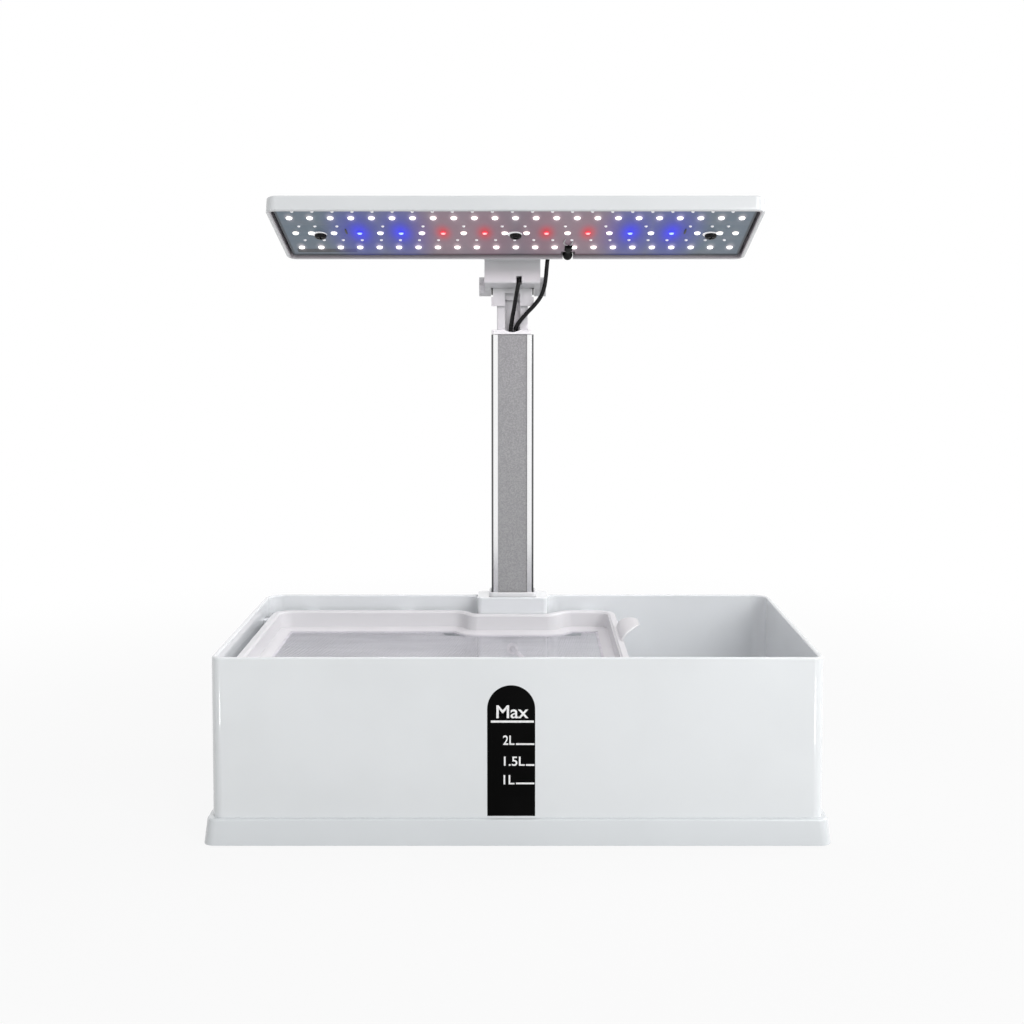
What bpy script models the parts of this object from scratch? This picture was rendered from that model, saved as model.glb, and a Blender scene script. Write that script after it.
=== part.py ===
"""A countertop hydroponic garden: water tank, lift-out mesh tray, telescopic post and tilting grow lamp."""

import math

import bmesh
import bpy
from mathutils import Vector

# Shared clearances and edge sizes
fit_gap = 0.0003
cut_overrun = 0.001
join_step = 0.0002
least_radius = 0.0002
corner_steps = 4
small_round_sides = 16
large_round_sides = 28

# Tank
tank_width = 0.320
tank_depth = 0.170
tank_height = 0.0985
tank_wall = 0.0028
tank_floor = 0.0028
tank_front_corner = 0.006
tank_back_corner = 0.012
tank_rim_round = 0.0008
tank_floor_fillet = 0.003
water_floor_height = 0.0117

# Base skirt under the tank
base_clear = 0.0005
base_plate = 0.0022
skirt_height = 0.0140
skirt_top_proud = 0.0025
skirt_foot_proud = 0.0041

# Feet and base screws
foot_radius = 0.0080
foot_recess = 0.0008
foot_inset = 0.024
screw_inset = 0.046
base_screw_radius = 0.0015
base_screw_head = 0.0027
base_screw_head_height = 0.0010
base_boss_radius = 0.0042

# Level scale on the front wall
scale_width = 0.025
scale_thickness = 0.0006
scale_bottom = 0.0150
scale_top = 0.0841
scale_offset = -0.0033

# Moulded column that carries the post at the back wall
post_offset = -0.0033
column_width = 0.044
column_front = 0.0660
column_back = 0.0890
column_proud = 0.0040
column_top = 0.1000
column_corner = 0.0030
column_fillet = 0.0075
column_shelf = 0.0030
column_channel_width = 0.020
column_channel_wall = 0.0030
wire_hole_width = 0.012
wire_hole_depth = 0.008

# Post
post_width = 0.0264
post_depth = 0.0150
post_front = 0.0695
post_top = 0.2646
post_insert = 0.0260
post_side_wall = 0.0020
post_front_wall = 0.0014
post_back_wall = 0.0015
post_corner = 0.0016
post_panel_width = 0.0183
post_panel_recess = 0.0008

# Collar at the foot of the post
collar_liner = 0.0010
collar_margin = 0.0016
collar_lip_height = 0.0025

# Screws that hold the post in its socket
post_screw_radius = 0.0015
post_screw_head = 0.0028
post_screw_head_height = 0.0015
post_screw_reach = 0.0055
post_screw_shares = (0.35, 0.72)

# Power inlet at the back of the column
inlet_height = 0.0330
inlet_radius = 0.0040
inlet_flange_radius = 0.0055
inlet_flange = 0.0012
inlet_length = 0.0100
inlet_bore = 0.0029
inlet_pin = 0.0010
inlet_bore_depth = 0.0085

# Cap on the top of the post
cap_height = 0.0027
cap_wall = 0.0009
cap_plug = 0.0080
cap_margin = 0.0002
cap_dip_radius = 0.0096
cap_dip_depth = 0.0014

# Sliding neck
neck_top = 0.2860
neck_channel_width = 0.0093
neck_channel_depth = 0.0042
neck_travel_up = 0.110
neck_overlap = 0.0250
neck_corner = 0.0010
glide_length = 0.0150

# Hinge
hinge_height = 0.2945
hinge_block_bottom = 0.2824
hinge_block_depth = 0.0116
hinge_block_width = 0.0264
knuckle_width = 0.0242
groove_top = 0.2905
washer_thickness = 0.0008
washer_radius = 0.0052
bolt_radius = 0.0015
bolt_head_radius = 0.0030
bolt_head_height = 0.0022
nut_sides = 6
boss_radius = 0.0058
boss_span = 0.0416
cheek_thickness = 0.00375
lamp_tilt = math.radians(16.7)

# Yoke, its cover and its switch, in the lamp's own level frame measured from the hinge axis
yoke_box_front = -0.0169
yoke_box_back = -0.0063
yoke_box_bottom = -0.0030
yoke_corner = 0.0015
yoke_wall = 0.0018
yoke_plate = 0.0028
yoke_plate_reach = 0.0300
pocket_floor = 0.0060
cover_thickness = 0.0014
cover_ledge = 0.0009
lead_notch_width = 0.0034
lead_notch_depth = 0.0036
lead_notch_height = 0.0045
lead_notch_offset = 0.0041
button_radius = 0.0024
button_flange_radius = 0.0032
button_flange = 0.0010
button_proud = 0.0012
button_travel = 0.0010
switch_board_thickness = 0.0012
switch_body = 0.0045
switch_body_height = 0.0020
yoke_screw_spacing = 0.020
yoke_screw_radius = 0.0014
yoke_screw_head = 0.0026
yoke_screw_head_height = 0.0014

# Lamp, in the same level frame
lamp_width = 0.2788
lamp_length = 0.0835
lamp_height = 0.0090
lamp_offset = 0.0021
lamp_rear = -0.0243
lamp_underside = 0.0095
lamp_corner = 0.0060
lamp_wall = 0.0026
lamp_roof = 0.0018
lamp_edge_round = 0.0012
board_recess = 0.0015
board_thickness = 0.0016
board_side_gap = 0.0014
board_screw_radius = 0.0012
board_screw_head = 0.0035
board_screw_head_height = 0.0020
board_boss_radius = 0.0040
board_screw_row = 0.0435
board_screw_shares = (-0.409, 0.0, 0.409)
led_columns = 23
led_pitch_share = 0.04178
led_size = 0.0030
led_height = 0.0007
front_row = 0.0157
middle_row = 0.0401
back_row = 0.0645
middle_row_shares = (
    0.0228, 0.0644, 0.1085, 0.1512, 0.1957, 0.2391, 0.2826, 0.3256, 0.3794, 0.4267, 0.4594,
)

# Lead gland in the lamp's rear wall
gland_offset = 0.0338
gland_height = 0.0030
gland_radius = 0.0028
gland_flange_radius = 0.0030
gland_flange = 0.0012
gland_length = 0.0160

# Leads, as routes chosen by hand
lead_radius = 0.0013
lead_point_spacing = 0.0065
switch_lead_route = (
    (-0.0044, 0.0753, 0.1300),
    (-0.0044, 0.0753, 0.2000),
    (-0.0044, 0.0753, 0.2560),
    (-0.0044, 0.0750, 0.2664),
    (-0.0037, 0.0726, 0.2735),
    (-0.0024, 0.0690, 0.2805),
    (-0.0012, 0.0650, 0.2875),
    (-0.0002, 0.0624, 0.2930),
    (0.0005, 0.06203, 0.29597),
    (0.0008, 0.06315, 0.29970),
)
lamp_lead_route = (
    (-0.0013, 0.0753, 0.1300),
    (-0.0013, 0.0753, 0.2000),
    (-0.0013, 0.0753, 0.2560),
    (-0.0013, 0.0751, 0.2664),
    (-0.0006, 0.0730, 0.2702),
    (0.0021, 0.0707, 0.2739),
    (0.0058, 0.0697, 0.2782),
    (0.0101, 0.0690, 0.2827),
    (0.0140, 0.0684, 0.2878),
    (0.0163, 0.0681, 0.2935),
    (0.0174, 0.0680, 0.3000),
    (0.0180, 0.0680, 0.3065),
    (0.0188, 0.0681, 0.3122),
    (0.0214, 0.0682, 0.3156),
    (0.0249, 0.0679, 0.3163),
    (0.0281, 0.0668, 0.3150),
    (0.0299, 0.0645, 0.3131),
    (0.0305, 0.0613, 0.31235),
    (0.0305, 0.05900, 0.31306),
    (0.0305, 0.05412, 0.31452),
    (0.0305, 0.04980, 0.31582),
)

# Grow tray
tray_left = -0.1534
tray_right = 0.0608
tray_front = -0.0780
tray_back = 0.0760
tray_flange_height = 0.0900
tray_corner = 0.0100
tray_skin = 0.0016
tray_flange_width = 0.0032
tray_groove_depth = 0.0010
tray_wall_inset = 0.0044
tray_groove_share = 0.67
tray_ledge_height = 0.0805
tray_ledge_inset = 0.0076
tray_floor_inset = 0.0110
tray_floor_height = 0.0789
tray_lip = 0.0020
tray_lip_drop = 0.0011
notch_clear = 0.0006
notch_floor_margin = 0.0016
notch_mouth_margin = 0.0086
notch_round = 0.0040

# Finger tab on the tray
tab_width = 0.038
tab_tip_width = 0.013
tab_place = 0.0085
tab_reach = 0.0100
tab_rise = 0.0076
tab_thickness = 0.0016

# Tray mesh
mesh_thickness = 0.0008
mesh_border = 0.0030
mesh_pitch = 0.0125
mesh_bar = 0.0020

# Ribs under the tray flange
rib_width = 0.0080
rib_height = 0.0050
rib_under = 0.0024
side_rib_places = (-0.062, 0.058)
end_rib_places = (-0.130, -0.070, 0.045)

# Pump
pump_offset = -0.0010
pump_width = 0.0360
pump_depth = 0.0300
pump_height = 0.0300
pump_front = 0.0180
pump_wall = 0.0018
pump_corner = 0.0030
pump_chamber_radius = 0.0110
pump_chamber_depth = 0.0100
pump_shaft_radius = 0.0012
pump_shaft_length = 0.0078
impeller_bore = 0.00125
impeller_hub = 0.0028
impeller_radius = 0.0090
impeller_length = 0.0060
impeller_vane = 0.0014
impeller_vanes = 6
intake_thickness = 0.0020
intake_slot = 0.0022
intake_slot_pitch = 0.0046
intake_slot_steps = (-2, -1, 0, 1, 2)
spout_radius = 0.0040
spout_bore = 0.0025
spout_length = 0.0080
pump_lead_radius = 0.0015
pump_gland_height = 0.0680
pump_gland_radius = 0.0026
pump_gland_flange = 0.0036
pump_lead_route = (
    (0.0090, 0.0400, 0.0423),
    (0.0090, 0.0402, 0.0480),
    (0.0088, 0.0420, 0.0530),
    (0.0078, 0.0450, 0.0580),
    (0.0045, 0.0505, 0.0635),
    (0.0005, 0.0560, 0.0668),
    (-0.0024, 0.0600, 0.0678),
    (-0.0033, 0.0640, 0.0680),
    (-0.0033, 0.0686, 0.0680),
)

finishes = {
    "tank_white": ((0.74, 0.77, 0.79), 0.22, 0.0),
    "base_white": ((0.70, 0.73, 0.75), 0.28, 0.0),
    "tray_white": ((0.75, 0.76, 0.79), 0.38, 0.0),
    "mesh_grey": ((0.50, 0.49, 0.52), 0.55, 0.0),
    "scale_black": ((0.01, 0.01, 0.01), 0.35, 0.0),
    "post_aluminium": ((0.62, 0.63, 0.63), 0.35, 1.0),
    "fitting_white": ((0.74, 0.75, 0.76), 0.40, 0.0),
    "lamp_white": ((0.80, 0.81, 0.83), 0.30, 0.0),
    "board_grey": ((0.16, 0.19, 0.25), 0.50, 0.0),
    "rubber_black": ((0.02, 0.02, 0.02), 0.70, 0.0),
    "screw_steel": ((0.55, 0.55, 0.56), 0.30, 1.0),
    "screw_black": ((0.03, 0.03, 0.03), 0.40, 1.0),
    "pump_grey": ((0.55, 0.56, 0.60), 0.45, 0.0),
    "circuit_green": ((0.03, 0.18, 0.09), 0.50, 0.0),
}

# Sizes that follow from the ones above
half_width = tank_width / 2
tank_back = column_back - column_proud
tank_front = tank_back - tank_depth
tank_radii = [tank_front_corner] * 2 + [tank_back_corner] * 2
inner_half_width = half_width - tank_wall
inner_back = tank_back - tank_wall
inner_front = tank_front + tank_wall
tank_underside = water_floor_height - tank_floor
post_back = post_front + post_depth
post_bottom = column_top - post_insert
post_centre = (post_front + post_back) / 2
socket_margin = collar_liner + fit_gap + fit_gap
cavity_front = post_front + post_panel_recess + post_front_wall
cavity_back = post_back - post_back_wall
cavity_half_width = post_width / 2 - post_side_wall
neck_margin = cap_wall + fit_gap + fit_gap
neck_width = 2 * (cavity_half_width - neck_margin)
neck_front = cavity_front + neck_margin
neck_back = cavity_back - neck_margin
neck_bottom = post_top - neck_travel_up - neck_overlap
hinge_place = (post_offset, (neck_front + neck_back) / 2, hinge_height)
channel_front = column_front + column_channel_wall
channel_back = column_back - column_channel_wall
lamp_front = lamp_rear - lamp_length
lamp_top = lamp_underside + lamp_height
board_face = lamp_underside + board_recess
board_top = board_face + board_thickness
yoke_top = lamp_top + fit_gap + yoke_plate
cover_top = yoke_top
cover_bottom = cover_top - cover_thickness


def clear_scene():
    """Start from an empty scene."""
    for item in list(bpy.data.objects):
        bpy.data.objects.remove(item, do_unlink=True)


def material(name):
    """One material for one object, from the table of finishes."""
    colour, roughness, metallic = finishes[name]
    made = bpy.data.materials.new(name)
    made.use_nodes = True
    shader = made.node_tree.nodes["Principled BSDF"]
    shader.inputs["Base Color"].default_value = (*colour, 1)
    shader.inputs["Roughness"].default_value = roughness
    shader.inputs["Metallic"].default_value = metallic
    return made


def place_point(u, v, w, along):
    """A point of an outline (u, v) at the distance w along a world axis."""
    return {"x": (w, u, v), "y": (u, w, v), "z": (u, v, w)}[along]


def keep(bm, name, finish=None, parent=None):
    """Turn a finished shape into a named object. Without a finish it is a cutter."""
    bmesh.ops.recalc_face_normals(bm, faces=bm.faces)
    mesh = bpy.data.meshes.new(name)
    bm.to_mesh(mesh)
    bm.free()
    mesh.shade_smooth()
    mesh.set_sharp_from_angle(angle=math.radians(30))
    made = bpy.data.objects.new(name, mesh)
    bpy.context.scene.collection.objects.link(made)
    made.parent = parent
    if finish:
        mesh.materials.append(material(finish))
    else:
        made.hide_render = True
        made.display_type = "WIRE"
    return made


def rounded_outline(corners, radii, inset=0):
    """Points of an anticlockwise polygon with round corners, drawn in by an inset."""
    count = len(corners)
    sides = [(Vector(corners[(i + 1) % count]) - Vector(corners[i])).normalized() for i in range(count)]
    points = []
    for i in range(count):
        before, after = sides[i - 1], sides[i]
        inward_before = Vector((-before.y, before.x))
        inward_after = Vector((-after.y, after.x))
        bisector = inward_before + inward_after
        corner = Vector(corners[i]) + bisector * (inset / bisector.dot(inward_before))
        turn = math.atan2(before.cross(after), before.dot(after))
        bend = math.copysign(1, turn)
        radius = max(radii[i] - inset * bend, least_radius)
        start = corner - before * (radius * math.tan(abs(turn) / 2))
        centre = start + inward_before * (radius * bend)
        arm = start - centre
        for step in range(corner_steps + 1):
            angle = turn * step / corner_steps
            turned = Vector(
                (
                    arm.x * math.cos(angle) - arm.y * math.sin(angle),
                    arm.x * math.sin(angle) + arm.y * math.cos(angle),
                )
            )
            points.append(tuple(centre + turned))
    return points


def box_corners(left, right, low, high):
    return [(left, low), (right, low), (right, high), (left, high)]


def round_box(left, right, low, high, radius, inset=0):
    """A rectangle with four equal round corners."""
    corners = box_corners(left, right, low, high)
    return rounded_outline(corners, [radius] * len(corners), inset)


def circle(centre, radius, sides=small_round_sides):
    """Points of a circle, with none straight above, below or beside its centre."""
    angles = [math.tau * (i + 0.5) / sides for i in range(sides)]
    return [(centre[0] + radius * math.cos(angle), centre[1] + radius * math.sin(angle)) for angle in angles]


def half_round(centre, radius):
    """The upper half of a circle, from its right end to its left one."""
    angles = [math.pi * i / small_round_sides for i in range(small_round_sides + 1)]
    return [(centre[0] + radius * math.cos(angle), centre[1] + radius * math.sin(angle)) for angle in angles]


def loft(rings, along="z", closed=False):
    """A shape through rings of equal count, each (outline, height). A closed one is a tube."""
    bm = bmesh.new()
    loops = [
        [bm.verts.new(place_point(u, v, height, along)) for u, v in outline] for outline, height in rings
    ]
    pairs = list(zip(loops, loops[1:]))
    if closed:
        pairs.append((loops[-1], loops[0]))
    else:
        bm.faces.new(loops[0])
        bm.faces.new(loops[-1])
    for lower, upper in pairs:
        for i in range(len(lower)):
            after = (i + 1) % len(lower)
            bm.faces.new((lower[i], lower[after], upper[after], upper[i]))
    return bm


def prism(outline, low, high, along="z"):
    """An outline pushed straight along an axis."""
    bm = bmesh.new()
    face = bm.faces.new([bm.verts.new(place_point(u, v, low, along)) for u, v in outline])
    pushed = bmesh.ops.extrude_face_region(bm, geom=[face])["geom"]
    moved = [item for item in pushed if isinstance(item, bmesh.types.BMVert)]
    push = Vector(place_point(0, 0, high, along)) - Vector(place_point(0, 0, low, along))
    bmesh.ops.translate(bm, verts=moved, vec=push)
    return bm


def turned(centre, steps, along="z", sides=small_round_sides):
    """A round piece from (radius, height) steps along one axis."""
    return loft([(circle(centre, radius, sides), height) for radius, height in steps], along)


def gather(shapes):
    """Several separate shapes as one, for cutting."""
    whole = bmesh.new()
    for shape in shapes:
        bmesh.ops.recalc_face_normals(shape, faces=shape.faces)
        held = bpy.data.meshes.new("held")
        shape.to_mesh(held)
        shape.free()
        whole.from_mesh(held)
        bpy.data.meshes.remove(held)
    return whole


def combine(target, shape, operation, parent=None):
    """Cut a shape from an object, or join it on."""
    helper = keep(shape, target.name + "_" + operation.lower() + "_helper", parent=parent)
    modifier = target.modifiers.new(operation.title(), "BOOLEAN")
    modifier.operation = operation
    modifier.solver = "EXACT"
    modifier.object = helper


def cut(target, shape, parent=None):
    combine(target, shape, "DIFFERENCE", parent)


def join(target, shape, parent=None):
    combine(target, shape, "UNION", parent)


def tank_outline(inset=0):
    corners = box_corners(-half_width, half_width, tank_front, tank_back)
    return rounded_outline(corners, tank_radii, inset)


def skirt_outline(proud):
    """The skirt from above: it stands proud of the tank, with corners as sharp as the tank's."""
    x = half_width + proud
    return rounded_outline(box_corners(-x, x, tank_front - proud, tank_back + proud), tank_radii)


def column_outline():
    """The column from above, with concave fillets to the tank's back wall."""
    left = post_offset - column_width / 2
    right = post_offset + column_width / 2
    flare = column_fillet + cut_overrun
    wall_middle = tank_back - tank_wall / 2
    corners = [
        (right, wall_middle),
        (right, column_back),
        (left, column_back),
        (left, wall_middle),
        (left - flare, wall_middle),
        (left - flare, inner_back),
        (left, inner_back),
        (left, column_front),
        (right, column_front),
        (right, inner_back),
        (right + flare, inner_back),
        (right + flare, wall_middle),
    ]
    plain = least_radius
    radii = [
        plain, column_corner, column_corner, plain, plain, plain,
        column_fillet, column_corner, column_corner, column_fillet, plain, plain,
    ]
    return rounded_outline(corners, radii)


def rib_shapes():
    """Small ribs on the tank's walls that carry the tray by its flange."""
    top = tray_flange_height - tray_skin - fit_gap
    low = top - rib_height
    sunk = tank_wall / 2
    left_reach = tray_left + rib_under
    front_reach = tray_front + rib_under
    back_reach = tray_back - rib_under
    half = rib_width / 2
    shapes = []
    for place in side_rib_places:
        outline = box_corners(-inner_half_width - sunk, left_reach, place - half, place + half)
        shapes.append(prism(outline, low, top))
    for place in end_rib_places:
        front = box_corners(place - half, place + half, inner_front - sunk, front_reach)
        back = box_corners(place - half, place + half, back_reach, inner_back + sunk)
        shapes.append(prism(front, low, top))
        shapes.append(prism(back, low, top))
    return shapes


def corner_places(side_inset, end_inset):
    """The four places near the corners of the base, with their names."""
    x = half_width - side_inset
    front = tank_front + end_inset
    back = tank_back - end_inset
    return {
        "front_left": (-x, front),
        "front_right": (x, front),
        "back_left": (-x, back),
        "back_right": (x, back),
    }


def screw_places():
    return corner_places(screw_inset, foot_inset)


def post_screw_heights():
    return [post_bottom + post_insert * share for share in post_screw_shares]


def make_tank():
    """The water tank, moulded in one with the dry column that carries the post."""
    rim = tank_rim_round
    inner = tank_wall
    rings = [
        (tank_outline(), tank_underside),
        (tank_outline(), tank_height - rim),
        (tank_outline(rim), tank_height),
        (tank_outline(inner - rim), tank_height),
        (tank_outline(inner), tank_height - rim),
        (tank_outline(inner), water_floor_height + tank_floor_fillet),
        (tank_outline(inner + tank_floor_fillet), water_floor_height),
    ]
    tank = keep(loft(rings), "tank_body", "tank_white")
    join(tank, prism(column_outline(), tank_underside, tank_height))
    left = post_offset - column_width / 2
    right = post_offset + column_width / 2
    head = round_box(left, right, column_front, column_back, column_corner)
    join(tank, prism(head, tank_height - tank_wall, column_top))
    join(tank, gather(rib_shapes()))
    boss_low = base_clear + base_plate + fit_gap
    boss_high = water_floor_height - fit_gap
    places = screw_places().values()
    join(tank, gather([prism(circle(place, base_boss_radius), boss_low, boss_high) for place in places]))
    screw_hole = base_screw_radius + fit_gap
    hole_low = boss_low - cut_overrun
    cut(tank, gather([prism(circle(place, screw_hole), hole_low, tank_underside) for place in places]))
    skirt_clear = box_corners(-half_width, half_width, tank_back + fit_gap, column_back + cut_overrun)
    cut(tank, prism(skirt_clear, tank_underside - cut_overrun, skirt_height + fit_gap))
    socket = round_box(
        post_offset - post_width / 2 - socket_margin,
        post_offset + post_width / 2 + socket_margin,
        post_front - socket_margin,
        post_back + socket_margin,
        post_corner + socket_margin,
    )
    socket_floor = post_bottom - fit_gap - fit_gap
    cut(tank, prism(socket, socket_floor, column_top + cut_overrun))
    channel_left = post_offset - column_channel_width / 2
    channel_right = post_offset + column_channel_width / 2
    channel_top = socket_floor - column_shelf
    channel = box_corners(channel_left, channel_right, channel_front, inner_back)
    cut(tank, prism(channel, tank_underside - cut_overrun, channel_top))
    upper = box_corners(channel_left, channel_right, channel_front, channel_back)
    cut(tank, prism(upper, skirt_height + column_channel_wall, channel_top))
    wires = box_corners(
        post_offset - wire_hole_width / 2, post_offset + wire_hole_width / 2,
        post_centre - wire_hole_depth / 2, post_centre + wire_hole_depth / 2,
    )
    cut(tank, prism(wires, channel_top - cut_overrun, socket_floor + cut_overrun))
    for height in post_screw_heights():
        seat = column_back - post_screw_head_height - fit_gap
        steps = [
            (post_screw_radius + fit_gap, post_back),
            (post_screw_radius + fit_gap, seat),
            (post_screw_head + fit_gap, seat),
            (post_screw_head + fit_gap, column_back + cut_overrun),
        ]
        cut(tank, turned((post_offset, height), steps, "y"))
    inlet_seat = column_back - inlet_flange - fit_gap
    steps = [
        (inlet_radius + fit_gap, channel_back - cut_overrun),
        (inlet_radius + fit_gap, inlet_seat),
        (inlet_flange_radius + fit_gap, inlet_seat),
        (inlet_flange_radius + fit_gap, column_back + cut_overrun),
    ]
    cut(tank, turned((post_offset, inlet_height), steps, "y"))
    pump_hole = circle((post_offset, pump_gland_height), pump_gland_radius + fit_gap)
    cut(tank, prism(pump_hole, column_front - cut_overrun, channel_front + cut_overrun, "y"))
    pocket = scale_outline(fit_gap)
    pocket_back = tank_front + scale_thickness + fit_gap
    cut(tank, prism(pocket, tank_front - cut_overrun, pocket_back, "y"))


def scale_outline(outset=0):
    """The level scale from the front: an upright strip with a half-round top."""
    half = scale_width / 2 + outset
    spring = scale_top - scale_width / 2
    top = half_round((scale_offset, spring), half)
    return [(scale_offset - half, scale_bottom - outset), (scale_offset + half, scale_bottom - outset)] + top


def make_scale():
    back = tank_front + scale_thickness
    keep(prism(scale_outline(), tank_front, back, "y"), "level_scale", "scale_black")


def make_base():
    """The base skirt: a shallow tray that holds the tank's lower edge."""
    inner = -fit_gap
    plate_top = base_clear + base_plate
    rings = [
        (skirt_outline(skirt_foot_proud), base_clear),
        (skirt_outline(skirt_top_proud), skirt_height),
        (tank_outline(inner), skirt_height),
        (tank_outline(inner), plate_top),
    ]
    base = keep(loft(rings), "base_skirt", "base_white")
    seats = []
    recesses = []
    for place in corner_places(foot_inset, foot_inset).values():
        seat = circle(place, foot_radius, large_round_sides)
        recess = circle(place, foot_radius + fit_gap, large_round_sides)
        seats.append(prism(seat, plate_top - fit_gap, tank_underside - fit_gap))
        recesses.append(prism(recess, base_clear - cut_overrun, base_clear + foot_recess))
    join(base, gather(seats))
    cut(base, gather(recesses))
    for place in screw_places().values():
        seat = base_clear + base_screw_head_height + fit_gap
        steps = [
            (base_screw_head + fit_gap, base_clear - cut_overrun),
            (base_screw_head + fit_gap, seat),
            (base_screw_radius + fit_gap, seat),
            (base_screw_radius + fit_gap, plate_top + cut_overrun),
        ]
        cut(base, turned(place, steps))


def make_feet_and_screws():
    for name, place in corner_places(foot_inset, foot_inset).items():
        top = base_clear + foot_recess - fit_gap
        keep(prism(circle(place, foot_radius, large_round_sides), 0, top), "foot_" + name, "rubber_black")
    shank_top = tank_underside - fit_gap
    for name, place in screw_places().items():
        seat = base_clear + base_screw_head_height
        steps = [
            (base_screw_head, base_clear),
            (base_screw_head, seat),
            (base_screw_radius, seat),
            (base_screw_radius, shank_top),
        ]
        keep(turned(place, steps), "base_screw_" + name, "screw_steel")


def post_outline():
    """The post from above: a rounded rectangle with a shallow recess in its front face."""
    half = post_width / 2
    panel = post_panel_width / 2
    inner = post_front + post_panel_recess
    corners = [
        (post_offset - half, post_front),
        (post_offset - panel, post_front),
        (post_offset - panel, inner),
        (post_offset + panel, inner),
        (post_offset + panel, post_front),
        (post_offset + half, post_front),
        (post_offset + half, post_back),
        (post_offset - half, post_back),
    ]
    radii = [post_corner] + [least_radius] * 4 + [post_corner] * 3
    return rounded_outline(corners, radii)


def cavity_outline(inset=0):
    left = post_offset - cavity_half_width
    right = post_offset + cavity_half_width
    return round_box(left, right, cavity_front, cavity_back, neck_corner, inset)


def neck_outline(outset=0):
    half = neck_width / 2
    return round_box(post_offset - half, post_offset + half, neck_front, neck_back, neck_corner, -outset)


def post_screw_holes(near, far):
    """Round cutters for the post's two screws, from one depth to another."""
    radius = post_screw_radius + fit_gap
    return [prism(circle((post_offset, height), radius), near, far, "y") for height in post_screw_heights()]


def make_post():
    post = keep(prism(post_outline(), post_bottom, post_top), "post_profile", "post_aluminium")
    cut(post, prism(cavity_outline(), post_bottom - cut_overrun, post_top + cut_overrun))
    cut(post, gather(post_screw_holes(cavity_back - cut_overrun, post_back + cut_overrun)))
    for number, height in enumerate(post_screw_heights(), 1):
        seat = column_back - post_screw_head_height
        steps = [
            (post_screw_radius, seat - post_screw_reach),
            (post_screw_radius, seat),
            (post_screw_head, seat),
            (post_screw_head, column_back),
        ]
        keep(turned((post_offset, height), steps, "y"), f"post_screw_{number}", "screw_steel")


def make_collar():
    """The lip and liner between the post and its socket."""
    half = post_width / 2
    inner_margin = fit_gap
    outer_margin = fit_gap + collar_liner

    def ring(margin):
        left = post_offset - half - margin
        right = post_offset + half + margin
        return round_box(left, right, post_front - margin, post_back + margin, post_corner + margin)

    lip_margin = collar_margin
    low = post_bottom
    seat = column_top + fit_gap
    rings = [
        (ring(outer_margin), low),
        (ring(outer_margin), seat),
        (ring(lip_margin), seat),
        (ring(lip_margin), seat + collar_lip_height),
        (ring(inner_margin), seat + collar_lip_height),
        (ring(inner_margin), low),
    ]
    collar = keep(loft(rings, closed=True), "socket_collar", "fitting_white")
    cut(collar, gather(post_screw_holes(post_back, column_back)))


def make_inlet():
    centre = (post_offset, inlet_height)
    inner = column_back - inlet_length
    steps = [
        (inlet_radius, inner),
        (inlet_radius, column_back - inlet_flange),
        (inlet_flange_radius, column_back - inlet_flange),
        (inlet_flange_radius, column_back),
        (inlet_bore, column_back),
        (inlet_bore, column_back - inlet_bore_depth),
        (inlet_pin, column_back - inlet_bore_depth),
        (inlet_pin, column_back - inlet_flange),
    ]
    keep(turned(centre, steps, "y"), "power_inlet", "rubber_black")


def make_cap():
    """The cap on the post, with a plug that guides the neck and a dip for the leads."""
    inner = neck_outline(fit_gap)
    plug = cavity_outline(fit_gap)
    seat = post_top + fit_gap
    half = post_width / 2 - cap_margin
    left, right = post_offset - half, post_offset + half
    plate = round_box(left, right, post_front + cap_margin, post_back - cap_margin, post_corner)
    rings = [
        (plug, post_top - cap_plug),
        (plug, seat),
        (plate, seat),
        (plate, seat + cap_height),
        (inner, seat + cap_height),
        (inner, post_top - cap_plug),
    ]
    cap = keep(loft(rings, closed=True), "post_top_cap", "fitting_white")
    dip_middle = seat + cap_height + cap_dip_radius - cap_dip_depth
    dip = circle((post_offset, dip_middle), cap_dip_radius, large_round_sides)
    cut(cap, prism(dip, post_front - cut_overrun, post_centre, "y"))


def make_neck():
    """The sliding neck with its lead channel, and the friction glide at its foot."""
    neck = keep(prism(neck_outline(), neck_bottom, neck_top), "neck_tube", "fitting_white")
    half = neck_channel_width / 2
    left, right = post_offset - half, post_offset + half
    channel = box_corners(left, right, neck_front - cut_overrun, neck_front + neck_channel_depth)
    cut(neck, prism(channel, neck_bottom - cut_overrun, neck_top + cut_overrun))
    low = neck_bottom
    high = neck_bottom + glide_length
    rings = [
        (cavity_outline(fit_gap), low),
        (cavity_outline(fit_gap), high),
        (neck_outline(fit_gap), high),
        (neck_outline(fit_gap), low),
    ]
    keep(loft(rings, closed=True), "neck_glide", "pump_grey")


def hinge_side(radius, bottom):
    """The hinge block from the side: straight below, half-round over the hinge axis."""
    y, z = hinge_place[1], hinge_place[2]
    return [(y - radius, bottom), (y + radius, bottom)] + half_round((y, z), radius)


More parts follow.
